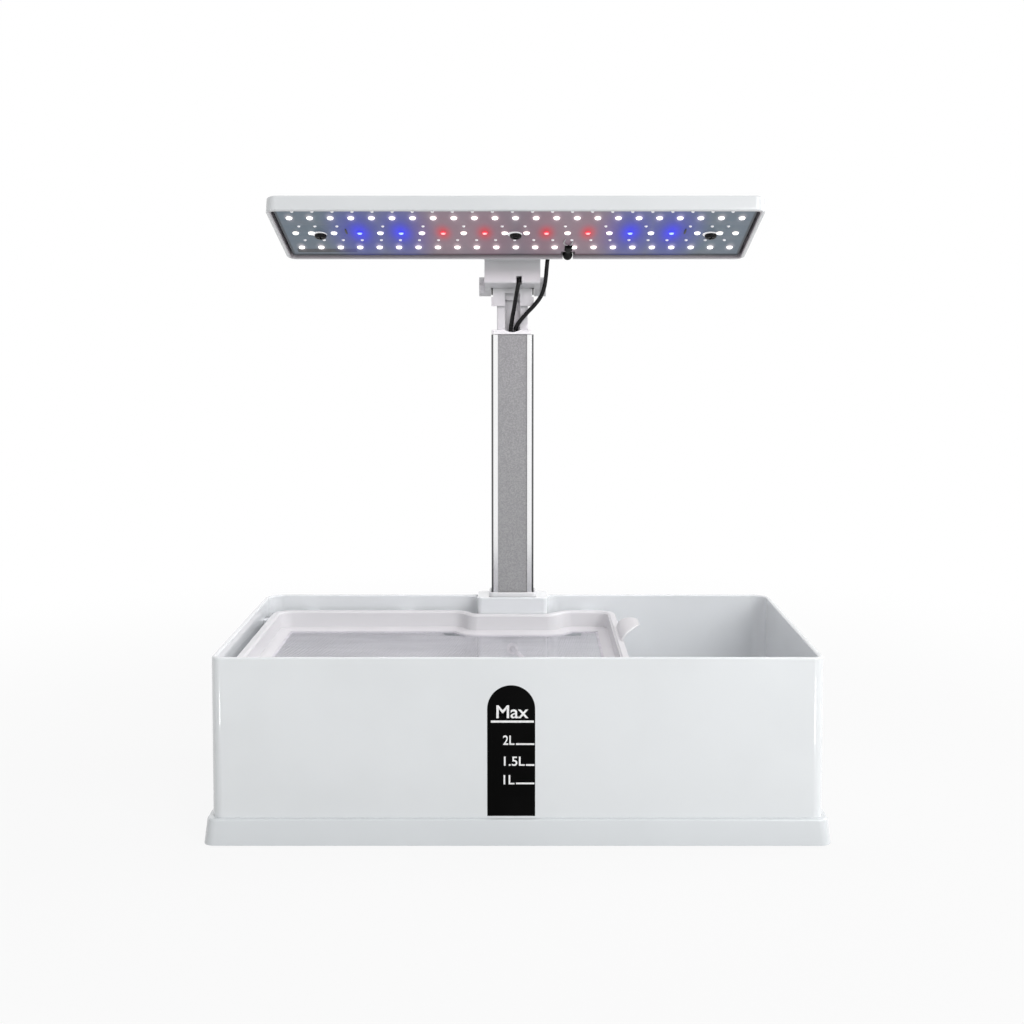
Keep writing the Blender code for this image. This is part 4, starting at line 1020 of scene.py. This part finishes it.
# the level scale has its own plain lettering
labelSettings = {
    "left": -15.8 * mm,
    "right": 9.2 * mm,
    "low": 15.0 * mm,
    "top": 84.1 * mm,
    "face": -85.08 * mm,
    "back": -84.5 * mm,
    # text, foot, height, left and right in mm
    "words": (
        ("Max", 66.7, 6.9, -11.0, 5.75),
        ("2L", 52.7, 5.0, -7.6, -1.6),
        ("1.5L", 41.6, 4.9, -7.1, 3.8),
        ("1L", 31.8, 4.9, -7.3, -1.6),
    ),
    # left, right, height and thickness in mm
    "lines": (
        (-13.9, 8.5, 65.0, 1.15), (-0.8, 8.8, 53.1, 0.9), (4.4, 8.8, 42.05, 0.9), (-0.8, 8.8, 32.3, 0.9),
    ),
    "stand": 0.06 * mm,  # how far the marks stand off the plate
    "bold": 0.012,
    "thick": 0.02,
}


def makeLabel():
    s = labelSettings
    plate = startBox("levelScale", (s["left"], s["face"], s["low"]), (s["right"], s["back"], s["top"]))
    editing(plate)
    pick("EDGE", lambda a, b: atHeight(s["top"])(a, b) and abs(a.y - b.y) > tiny)
    bevel((s["right"] - s["left"]) / 2 - 0.01 * mm, 24)
    done()
    roundEdges(plate, 0.06 * mm, 2)
    dress(plate, "scaleBlack", "scale_black", "base", "level_scale")
    marks = []
    for text, base, tall, left, right in s["words"]:
        deselect()
        bpy.ops.object.text_add()
        word = bpy.context.object
        word.data.body = text
        word.data.offset = s["bold"]
        word.data.extrude = s["thick"]
        bpy.ops.object.convert(target="MESH")
        word = bpy.context.object
        xs = [point.co.x for point in word.data.vertices]
        ys = [point.co.y for point in word.data.vertices]
        scaleX = (right - left) * mm / (max(xs) - min(xs))
        scaleY = tall * mm / (max(ys) - min(ys))
        word.scale = (scaleX, scaleY, s["stand"] / s["thick"])
        word.rotation_euler = (math.radians(90), 0, 0)
        word.location = (left * mm - min(xs) * scaleX, s["face"], base * mm - min(ys) * scaleY)
        marks.append(settle(word))
    for left, right, height, thick in s["lines"]:
        marks.append(
            startBox(
                "line",
                (left * mm, s["face"] - s["stand"], (height - thick / 2) * mm),
                (right * mm, s["face"] + s["stand"], (height + thick / 2) * mm),
            )
        )
    lettering = joinPieces("levelMarks", marks)
    dress(lettering, "markWhite", "scale_black", "base", weighted=False, angle=20)


makeLabel()
print("level scale made")


def makePost():
    s = postSettings
    left, right = s["middle"] - s["half"], s["middle"] + s["half"]
    deselect()
    bpy.ops.mesh.primitive_plane_add(
        size=1, location=(s["middle"], (s["front"] + s["back"]) / 2, s["low"])
    )
    post = bpy.context.object
    post.name = "postProfile"
    post.scale = (right - left, s["back"] - s["front"], 1)
    settle(post)
    editing(post)
    pick("VERT", lambda place: True)
    bevel(s["corner"], 5, "VERTICES")
    wallTop, wallFoot = s["panelHalf"], s["panelHalf"] - s["panelSlope"]
    for x in (-wallTop, -wallFoot, wallFoot, wallTop):
        bpy.ops.mesh.select_all(action="SELECT")
        bpy.ops.mesh.bisect(plane_co=(s["middle"] + x, 0, 0), plane_no=(1, 0, 0))
    pick(
        "VERT",
        lambda place: abs(place.x - s["middle"]) < wallFoot + tiny and place.y < s["front"] + tiny,
    )
    bpy.ops.transform.translate(value=(0, s["panelDepth"], 0))
    bpy.ops.mesh.select_all(action="SELECT")
    extrude(0, 0, s["top"] - s["low"])
    bpy.ops.mesh.select_all(action="SELECT")
    bpy.ops.mesh.normals_make_consistent(inside=False)
    done()
    bore = roundedBox("bore", inMm(-14.5, 71.7, 70), inMm(7.9, 83.0, 270), 1 * mm, 4)
    combine(post, bore)
    dress(post, "postAluminium", "post_aluminium", "base", "post_profile", angle=30)


def makeCollar():
    collar = roundedBox("socketCollar", inMm(-18.1, 67.9, 100.3), inMm(11.5, 86.1, 102.8), 3.2 * mm)
    roundAt(collar, 102.8 * mm, 0.9 * mm)
    liner = roundedBox("liner", inMm(-17.8, 68.2, 74), inMm(11.2, 85.8, 101), 2.9 * mm)
    combine(collar, liner, "UNION")
    hole = roundedBox("hole", inMm(-16.8, 69.2, 70), inMm(10.2, 84.8, 110), 1.9 * mm)
    combine(collar, hole)
    dress(collar, "collarWhite", "fitting_white", "base", "socket_collar")


def makeCap():
    cap = roundedBox("postTopCap", inMm(-16.3, 69.7, 264.9), inMm(9.7, 84.3, 267.6), 1.7 * mm)
    roundAt(cap, 267.6 * mm, 0.5 * mm)
    plug = roundedBox("plug", inMm(-14.2, 72.0, 256.6), inMm(7.6, 82.7, 265.5), 0.8 * mm, 3)
    combine(cap, plug, "UNION")
    opening = roundedBox("opening", inMm(-13.25, 72.9, 250), inMm(6.65, 81.8, 280), 1.3 * mm, 4)
    combine(cap, opening)
    dip = startRound("dip", inMm(-3.3, 72, 275.8), 9.6 * mm, 8 * mm, "y", 96)
    combine(cap, dip)
    dress(cap, "collarWhite", "fitting_white", "base", "post_top_cap")


makePost()
makeCollar()
makeCap()
print("post made")


def makeNeck():
    neck = roundedBox("neckTube", inMm(-13, 73.2, 129.6), inMm(6.4, 81.5, 286), 1 * mm, 4)
    channel = startBox("channel", inMm(-7.95, 70, 120), inMm(1.35, 77.4, 300))
    combine(neck, channel)
    roundEdges(neck, 0.25 * mm, 2, 50)
    dress(neck, "fittingWhite", "fitting_white", "neck", "neck_tube")


def makeHingeBlock():
    block = startBox("hingeBlock", inMm(-16.5, 71.55, 282.4), inMm(9.9, 83.15, 288.1))
    upper = startBox("upper", inMm(-15.4, 71.55, 287.5), inMm(8.8, 83.15, 294.5))
    combine(block, upper, "UNION")
    knuckle = startRound("knuckle", hingeAxis, 5.8 * mm, 24.2 * mm, "x", 64)
    combine(block, knuckle, "UNION")
    seat = roundedBox("seat", inMm(-13.25, 72.9, 280), inMm(6.65, 81.8, 286.02), 1.3 * mm, 4)
    combine(block, seat)
    groove = startBox("groove", inMm(-7.95, 68, 280), inMm(1.35, 75.3, 290.5))
    combine(block, groove)
    combine(block, startRound("hole", hingeAxis, 1.8 * mm, 40 * mm, "x", 32))
    roundEdges(block, 0.45 * mm, 3, 40)
    dress(block, "fittingWhite", "fitting_white", "neck", "hinge_block")


yokeSettings = {
    # node, rounding of its edges and segments, finish, slot, body
    "lampYoke": ("lamp_yoke", 0.35 * mm, 2, "fittingWhite", "fitting_white", "lamp"),
    "yokeCover": ("yoke_cover", 0.25 * mm, 2, "fittingWhite", "fitting_white", "lamp"),
    "timerButton": ("timer_button", 0.25 * mm, 3, "buttonGrey", "pump_grey", "button"),
    "hingeBolt": ("hinge_bolt", 0.3 * mm, 2, "screwSteel", "screw_steel", "lamp"),
    "hingeNut": ("hinge_nut", 0.2 * mm, 2, "screwSteel", "screw_steel", "lamp"),
}

makeNeck()
makeHingeBlock()
softCopies(yokeSettings)
lampUp = lampTurn.to_3x3() @ Vector((0, 0, 1))
yokeScrews = {
    "yoke_screw_left": (lampTurn @ Vector(inMm(-10, -39.3, 20.2)), 0.3),
    "yoke_screw_right": (lampTurn @ Vector(inMm(10, -39.3, 20.2)), 1.3),
}
placeScrews("yokeScrew", lampUp, yokeScrews, "screwSteel", "screw_steel", "lamp")
print("neck and hinge made")


def makeHousing():
    s = lampSettings
    low = (s["offset"] - s["halfWidth"], s["front"], s["under"])
    high = (s["offset"] + s["halfWidth"], s["rear"], s["top"])
    lamp = roundedBox("lampHousing", low, high, s["corner"], 8)
    editing(lamp)
    pick("EDGE", atHeight(s["top"]))
    bevel(s["topEdge"], 4)
    pick("FACE", facingDown)
    bpy.ops.mesh.inset(thickness=s["wall"], depth=0)
    extrude(0, 0, s["top"] - s["roof"] - s["under"])
    pick("EDGE", rimAt(s["under"], s["wall"]))
    bevel(s["rim"], 3)
    done()
    slot = startBox("slot", inMm(30.7, -28, 5), inMm(36.9, -22, 12.7))
    combine(lamp, slot)
    combine(lamp, startRound("slotTop", inMm(33.8, -25, 12.7), 3.1 * mm, 6 * mm, "y", 48))
    rotateWithLamp(lamp)
    dress(lamp, "lampShell", "lamp_white", "lamp", "lamp_housing")


def makeBoard():
    s, lamp = boardSettings, lampSettings
    low = (lamp["offset"] - lamp["halfWidth"] + s["inset"], lamp["front"] + s["inset"], s["low"])
    high = (lamp["offset"] + lamp["halfWidth"] - s["inset"], lamp["rear"] - s["inset"], s["high"])
    board = roundedBox("ledBoard", low, high, s["corner"], 4)
    combine(board, startBox("slot", inMm(29.6, -34.5, 5), inMm(38.0, -20, 20)))
    roundEdges(board, 0.15 * mm, 1)
    rotateWithLamp(board)
    dress(board, "boardBlue", "board_grey", "lamp", "led_board")


def makeChip(name, halfX, halfY, height):
    # an oval domed chip that hangs from the board's face
    chip = startRound(name, (0, 0, ledSettings["seat"] - height / 2), halfX, height, sides=20)
    editing(chip)
    pick("EDGE", atHeight(ledSettings["seat"] - height))
    bevel(height * 0.75, 3)
    bpy.ops.mesh.select_all(action="SELECT")
    bpy.ops.transform.resize(value=(1, halfY / halfX, 1), center_override=(0, 0, 0))
    done()
    return chip


def spreadChips(name, chip, places, finish):
    copies = []
    for x, y in places:
        made = copyOf(chip, name)
        made.location = (x, y, 0)
        copies.append(settle(made))
    whole = rotateWithLamp(joinPieces(name, copies))
    bpy.data.objects.remove(chip)
    dress(whole, finish, "board_grey", "lamp", weighted=False, angle=50)


smallChipSettings = {
    # row from the lamp's front, pitch, shift
    "rows": (inMm(5.9, 11.21, -1.7), inMm(52.0, 11.25, -0.6)),
    "count": 23,
    "middle": 29.0 * mm,
    "middleShares": (
        -0.894, -0.828, -0.737, -0.548, -0.382, -0.214, -0.055,
        0.039, 0.205, 0.372, 0.538, 0.721, 0.811, 0.878,
    ),
}


def smallChipPlaces():
    s, lamp = smallChipSettings, lampSettings
    steps = [column - (s["count"] - 1) / 2 for column in range(s["count"])]
    places = [(shift + pitch * step, row) for row, pitch, shift in s["rows"] for step in steps]
    places += [(lamp["halfWidth"] * share, s["middle"]) for share in s["middleShares"]]
    return [(lamp["offset"] + x, lamp["front"] + row) for x, row in places]


def makeGland():
    # two black lobes with a waist, bored for the lead
    gland = startRound("leadGland", inMm(33.8, -31.3, 12.5), 2.8 * mm, 17.6 * mm, "y", 40)
    editing(gland)
    for place in (-37.0, -33.5, -31.5, -26.5, -24.6):
        bpy.ops.mesh.select_all(action="SELECT")
        bpy.ops.mesh.bisect(plane_co=(0, place * mm, 0), plane_no=(0, 1, 0))
    for place, size in ((-33.5, 0.68), (-31.5, 0.68), (-24.6, 1.07)):
        pick("VERT", lambda point: abs(point.y - place * mm) < tiny)
        bpy.ops.transform.resize(value=(size, 1, size), center_override=(33.8 * mm, place * mm, 12.5 * mm))
    done()
    roundEdges(gland, 0.5 * mm, 3, 40)
    combine(gland, startRound("bore", inMm(33.8, -31, 12.5), 1.35 * mm, 30 * mm, "y", 32))
    rotateWithLamp(gland)
    # the sheath's end, behind the waist
    sheath = startRound("sheath", inMm(33.8, -43.2, 11.6), 2.5 * mm, 6.0 * mm, "y", 32)
    roundEdges(sheath, 0.9 * mm, 3, 40)
    rotateWithLamp(sheath)
    gland = joinPieces("leadGland", [gland, sheath])
    dress(gland, "glandBlack", "rubber_black", "lamp", "lead_gland")


def makeLampWires():
    # two bared wires from the lead's end to their solder pads on the board
    for name, points in (
        ("lampWire.1", ((33.0, -46.0, 11.0), (31.6, -49.0, 10.3), (30.6, -53.0, 10.2), (31.6, -56.5, 10.9))),
        ("lampWire.2", ((34.4, -46.0, 11.0), (35.0, -48.5, 10.4), (35.4, -51.0, 10.3), (36.2, -53.5, 10.9))),
    ):
        route = [Vector(point) for point in points]
        smoothed = curvePoints(route, 0.6 * mm)[0]
        wire = leadPiece(name, smoothed, 0.35 * mm)
        rotateWithLamp(wire)
        dress(wire, "fittingWhite", "rubber_black", "lamp", weighted=False, angle=60)


makeHousing()
makeBoard()
for name, finish, kind, sizes in (
    ("whiteChips", "ledWhite", "white", inMm(1.8, 1.7, 1.1)),
    ("blueChips", "ledBlue", "blue", inMm(1.5, 1.3, 1.0)),
    ("redChips", "ledRed", "red", inMm(1.4, 1.3, 1.0)),
):
    spreadChips(name, makeChip("chip", *sizes), ledPlaces(kind), finish)
# small chips that glow with a painted glint, though they are no lamps
spreadChips("paintedGlintChips", makeChip("chip", 0.9 * mm, 0.7 * mm, 0.8 * mm), smallChipPlaces(), "paintedGlintChip")
darkMarks = [(lampSettings["offset"] + side * 98.5 * mm, lampSettings["front"] + 38 * mm) for side in (-1, 1)]
spreadChips("darkMarks", makeChip("chip", 0.65 * mm, 4.6 * mm, 0.5 * mm), darkMarks, "blackRubber")
boardScrewSettings = {
    "shares": (-0.409, 0.0, 0.409),  # of the lamp's width
    "row": 43.5 * mm,  # from the lamp's front
    "seat": 10.7 * mm,
    "padShift": inMm(-0.5, -0.8),
}

boardScrews, padPlaces = {}, []
for number, share in enumerate(boardScrewSettings["shares"]):
    screwX = lampSettings["offset"] + 2 * lampSettings["halfWidth"] * share
    screwY = lampSettings["front"] + boardScrewSettings["row"]
    shiftX, shiftY = boardScrewSettings["padShift"]
    padPlaces.append((screwX + shiftX, screwY + shiftY))
    seat = lampTurn @ Vector((screwX, screwY, boardScrewSettings["seat"]))
    boardScrews[f"board_screw_{number + 1}"] = (seat, 0.7 * number)
placeScrews("boardScrew", -lampUp, boardScrews, "screwBlack", "screw_black", "lamp")
# the pads under the board screws carry the painted glint as well
pad = startRound("pad", inMm(0, 0, 10.95), 4.3 * mm, 0.2 * mm, sides=40)
spreadChips("screwPads", pad, padPlaces, "paintedGlintChip")
makeGland()
makeLampWires()
print("lamp made")


traySettings = {
    "left": -153.4 * mm,
    "right": 60.8 * mm,
    "front": -78 * mm,
    "back": 76 * mm,
    "flange": 90 * mm,
    "notchFloor": 65.4 * mm,
    "notchMouth": inMm(-33.9, 27.3),
    "notchFoot": inMm(-26.9, 20.3),
    "corner": 11.6 * mm,
    "mouthCut": 6.4 * mm,
    "floorCut": 2.4 * mm,
    "profile": ((3.2, 0), (0.7, -0.9), (0.5, 0), (0.3, -8.6), (2.9, 0), (3.3, -1.5)),
    "skin": 1.5 * mm,
}


def trayFace(name, height):
    # the tray's outline as one flat face
    s = traySettings
    deselect()
    middle = ((s["left"] + s["right"]) / 2, (s["front"] + s["back"]) / 2, height)
    bpy.ops.mesh.primitive_plane_add(size=1, location=middle)
    piece = bpy.context.object
    piece.name = name
    piece.scale = (s["right"] - s["left"], s["back"] - s["front"], 1)
    settle(piece)
    editing(piece)
    bpy.ops.mesh.select_all(action="SELECT")
    bpy.ops.mesh.bisect(plane_co=(0, s["notchFloor"], 0), plane_no=(0, 1, 0))
    for x in s["notchMouth"]:
        bpy.ops.mesh.select_all(action="SELECT")
        bpy.ops.mesh.bisect(plane_co=(x, 0, 0), plane_no=(1, 0, 0))
    left, right = s["notchMouth"]
    pick("FACE", lambda middle, normal: left < middle.x < right and middle.y > s["notchFloor"])
    bpy.ops.mesh.delete(type="FACE")
    for mouth, foot in zip(s["notchMouth"], s["notchFoot"]):
        pick("VERT", lambda place: abs(place.x - mouth) < tiny and abs(place.y - s["notchFloor"]) < tiny)
        bpy.ops.transform.translate(value=(foot - mouth, 0, 0))
    bpy.ops.mesh.select_all(action="SELECT")
    bpy.ops.mesh.dissolve_limited(angle_limit=math.radians(1))
    outer = (s["left"], s["right"])
    pick("VERT", lambda place: min(abs(place.x - side) for side in outer) < tiny)
    bevel(s["corner"], 8, "VERTICES")
    pick("VERT", lambda place: min(abs(place.x - x) for x in s["notchMouth"]) < tiny)
    bevel(s["mouthCut"], 6, "VERTICES")
    feet = s["notchFoot"]
    pick("VERT", lambda place: min(abs(place.x - x) for x in feet) < tiny and place.y > 60 * mm)
    bevel(s["floorCut"], 4, "VERTICES")
    return piece


def makeTray():
    s = traySettings
    tray = trayFace("growTray", s["flange"])
    pick("FACE", lambda middle, normal: True)
    for thickness, drop in s["profile"]:
        bpy.ops.mesh.inset(thickness=thickness * mm, depth=drop * mm)
    bpy.ops.mesh.delete(type="FACE")
    done()
    applyModifier(tray, "SOLIDIFY", thickness=s["skin"], offset=-1, use_even_offset=True)
    roundEdges(tray, 0.35 * mm, 2, 30)
    combine(tray, makeTab(), "UNION")
    dress(tray, "trayWhite", "tray_white", "tray", "grow_tray")


tabSettings = {
    "middle": 8.5 * mm,
    "width": 38 * mm,
    "tip": 13 * mm,
    "reach": 10 * mm,
    "rise": 7.6 * mm,
    "thick": 1.6 * mm,
    "steps": 8,
}


def makeTab():
    # a leaf that rises from the flange's edge and curls outwards, narrower towards its tip
    s, flange, right = tabSettings, traySettings["flange"], traySettings["right"]
    centre = (right + s["reach"], s["middle"], flange)
    tab = startBox(
        "tab",
        (right - s["thick"], s["middle"] - s["width"] / 2, flange - 1.2 * mm),
        (right, s["middle"] + s["width"] / 2, flange),
    )
    editing(tab)
    pick("FACE", facingUp)
    turn, width = math.pi / 2 / s["steps"], 1.0
    for step in range(1, s["steps"] + 1):
        bpy.ops.mesh.extrude_region_move()
        bpy.ops.transform.rotate(value=-turn, orient_axis="Y", center_override=centre)
        out = 1 - math.cos(turn * step)
        share = 1 - out**2 * (1 - s["tip"] / s["width"])
        bpy.ops.transform.resize(value=(1, share / width, 1), center_override=centre)
        width = share
    pick("VERT", lambda place: place.z > flange + tiny)
    flatten = s["rise"] / (s["reach"] + s["thick"])
    bpy.ops.transform.resize(value=(1, 1, flatten), center_override=centre)
    done()
    roundEdges(tab, 0.45 * mm, 3, 40)
    return tab


netSettings = {
    "height": 78.3 * mm,
    "pitch": 2.0 * mm,
    "wire": 0.62 * mm,
    "thick": 0.16 * mm,
    "turn": math.radians(38),
    "inset": 10.6 * mm,
    "border": 1.6 * mm,
    "frame": 0.8 * mm,
    "overlap": 0.8 * mm,  # how far the net reaches under its frame
    "corner": 3.5 * mm,
    "span": 280 * mm,
}


def makeNetFrame():
    s = netSettings
    ring = trayFace("netFrame", s["height"] - 0.4 * mm)
    pick("FACE", lambda middle, normal: True)
    bpy.ops.mesh.inset(thickness=s["inset"], depth=0)
    bpy.ops.mesh.select_all(action="INVERT")
    bpy.ops.mesh.delete(type="FACE")
    bpy.ops.mesh.select_all(action="SELECT")
    bpy.ops.mesh.inset(thickness=s["border"], depth=0)
    bpy.ops.mesh.delete(type="FACE")
    done()
    applyModifier(ring, "SOLIDIFY", thickness=s["frame"], offset=1)
    dress(ring, "netGrey", "mesh_grey", "tray", weighted=False)


def inNet(x, y):
    # whether a point lies over the opening, as far as the middle of the frame round it
    s, net = traySettings, netSettings
    edge, corner = net["inset"] + net["overlap"], net["corner"]
    if not (s["left"] + edge < x < s["right"] - edge and s["front"] + edge < y < s["back"] - edge):
        return False
    offX = max(s["left"] + edge + corner - x, x - s["right"] + edge + corner, 0)
    offY = max(s["front"] + edge + corner - y, y - s["back"] + edge + corner, 0)
    if math.hypot(offX, offY) > corner:
        return False
    left, right = s["notchMouth"]
    return y < s["notchFloor"] - edge or not (left - edge - 1 * mm < x < right + edge + 1 * mm)


def makeNet():
    s = netSettings
    deselect()
    cells = round(s["span"] / s["pitch"])
    middle = ((traySettings["left"] + traySettings["right"]) / 2, 0, s["height"])
    grid = {"x_subdivisions": cells, "y_subdivisions": cells, "size": s["span"]}
    bpy.ops.mesh.primitive_grid_add(location=middle, rotation=(0, 0, s["turn"]), **grid)
    net = bpy.context.object
    net.name = "trayNet"
    settle(net)
    editing(net)
    pick("FACE", lambda middle, normal: not inNet(middle.x, middle.y))
    bpy.ops.mesh.delete(type="FACE")
    done()
    applyModifier(net, "WIREFRAME", thickness=s["wire"], use_even_offset=False)
    editing(net)
    bpy.ops.mesh.select_all(action="SELECT")
    bpy.ops.transform.resize(value=(1, 1, s["thick"] / s["wire"]), center_override=(0, 0, s["height"]))
    done()
    dress(net, "netGrey", "mesh_grey", "tray", "tray_mesh", weighted=False, angle=20)
    print("net triangles:", sum(len(face.vertices) - 2 for face in net.data.polygons))


makeTray()
makeNetFrame()
makeNet()
print("tray made")


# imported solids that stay, with their finishes
keptFinishes = {
    "neck_glide": "pumpGrey",
    "friction_washer_left": "blackRubber",
    "friction_washer_right": "blackRubber",
    "switch_board": "circuitGreen",
    "pump_gland": "pumpGrey",
    "pump_lead": "pumpGrey",
    "pump_impeller": "pumpGrey",
}

pumpSettings = {
    # node, rounding of its edges and segments, finish, slot, body
    "pumpBody": ("pump_body", 0.5 * mm, 2, "pumpGrey", "pump_grey", "base"),
    "pumpIntake": ("pump_intake", 0.3 * mm, 2, "pumpGrey", "pump_grey", "base"),
    "powerInlet": ("power_inlet", 0.2 * mm, 2, "blackRubber", "rubber_black", "base"),
}

for node, finish in keptFinishes.items():
    cadNodes[node].data.materials.clear()
    cadNodes[node].data.materials.append(finishes[finish])
softCopies(pumpSettings)
print("pump and inlet made")


lightSettings = {
    "world": 0.56,
    "sides": 0.65,  # how much of the world's light is left at the sides
    "sideStart": 0.35,
    "lamps": {
        "key": {"place": (1.0, -1.5, 0.95), "size": 1.2, "power": 19},
        "side": {"place": (1.5, 0.3, 0.75), "size": 1.0, "power": 10},
        "top": {"place": (0.2, 0.5, 1.9), "size": 1.4, "power": 4},
    },
    "strips": {
        "right": {"middle": (0.285, -0.30, 0.004), "turn": 30, "size": (0.045, 0.17), "power": 0.22},
        "left": {"middle": (-0.285, -0.30, 0.004), "turn": -30, "size": (0.045, 0.09), "power": 0.12},
    },
    "grow": {"under": 6 * mm, "size": (0.25, 0.06), "power": 0.16, "colour": (1.0, 0.92, 0.97)},
    "floorShade": 0.1,  # how much of the floor's own shading shows near the object
    "shadeEnds": (0.25, 0.75),  # over which distance it fades out
    "aim": (0, 0, 0.15),
}


def shownRays(nodes):
    # 1 for the camera, for mirror images and for what is seen through clear material
    names = ("Is Camera Ray", "Is Glossy Ray", "Is Transmission Ray")
    return brightest(nodes.add("ShaderNodeLightPath", {}, {}, names))


def makeFloor():
    deselect()
    bpy.ops.mesh.primitive_plane_add(size=12, location=(0, 0, -0.0002))
    floor = bpy.context.object
    floor.name = "studioFloor"
    finish = Finish("studioFloor")
    finish.set(Base_Color=(0.55, 0.55, 0.55), Roughness=0.9)
    rays = shownRays(finish)
    glow = finish.add("ShaderNodeEmission", {}, {"Color": (1, 1, 1), "Strength": 1.0})
    # most of the white comes from the glow, the rest keeps the object's shadow near it
    away = finish.add("ShaderNodeVectorMath", {"operation": "LENGTH"}, {0: finish.place()}, "Value")
    white = 1 - lightSettings["floorShade"] * (1 - away.rise(*lightSettings["shadeEnds"]))
    own = Signal(finish, finish.shader.outputs[0])
    mix = finish.add("ShaderNodeMixShader", {}, {0: rays * white, 1: own, 2: glow})
    finish.put(finish.output.inputs[0], mix)
    floor.data.materials.append(finish.material)


def makeWorld():
    s = lightSettings
    world = bpy.data.worlds.new("studio")
    bpy.context.scene.world = world
    studio = Nodes(world)
    # the studio is darker to the left and right
    aside = abs(studio.split(studio.add("ShaderNodeTexCoord", {}, {}, "Generated"))[0])
    ends = {"From Min": s["sideStart"], "To Min": s["world"], "To Max": s["world"] * s["sides"]}
    level = studio.add("ShaderNodeMapRange", {}, {"Value": aside, **ends})
    lighting = studio.add("ShaderNodeBackground", {}, {0: (1, 1, 1), 1: level})
    seen = studio.add("ShaderNodeBackground", {}, {0: (1, 1, 1), 1: 1.0})
    mix = studio.add("ShaderNodeMixShader", {}, {0: shownRays(studio), 1: lighting, 2: seen})
    studio.add("ShaderNodeOutputWorld", {}, {0: mix}, ())


def addLight(name, place, turn, s):
    # a square light, or a rectangle that the camera doesn't see where the size is a pair
    bpy.ops.object.light_add(type="AREA", location=place, rotation=turn)
    light = bpy.context.object
    light.name = name
    light.data.energy = s["power"]
    if isinstance(s["size"], tuple):
        light.data.shape = "RECTANGLE"
        light.data.size, light.data.size_y = s["size"]
        light.visible_camera = False
    else:
        light.data.size = s["size"]
    return light


def makeLights():
    s, lamp = lightSettings, lampSettings
    # low strips whose mirror images draw the bright lines down the tank's corners
    for name, strip in s["strips"].items():
        addLight(name + "Strip", strip["middle"], (math.pi, 0, math.radians(strip["turn"])), strip)
    for name, one in s["lamps"].items():
        aim = Vector(s["aim"]) - Vector(one["place"])
        addLight(name + "Light", one["place"], aim.to_track_quat("-Z", "Y").to_euler(), one)
    # what the lit board adds to the tank below it
    middle = Vector((lamp["offset"], (lamp["front"] + lamp["rear"]) / 2, s["grow"]["under"]))
    grow = addLight("growLight", lampTurn @ middle, (-lampTilt, 0, 0), s["grow"])
    grow.data.color = s["grow"]["colour"]
    grow.visible_glossy = False


makeFloor()
makeWorld()
makeLights()
print("studio made")
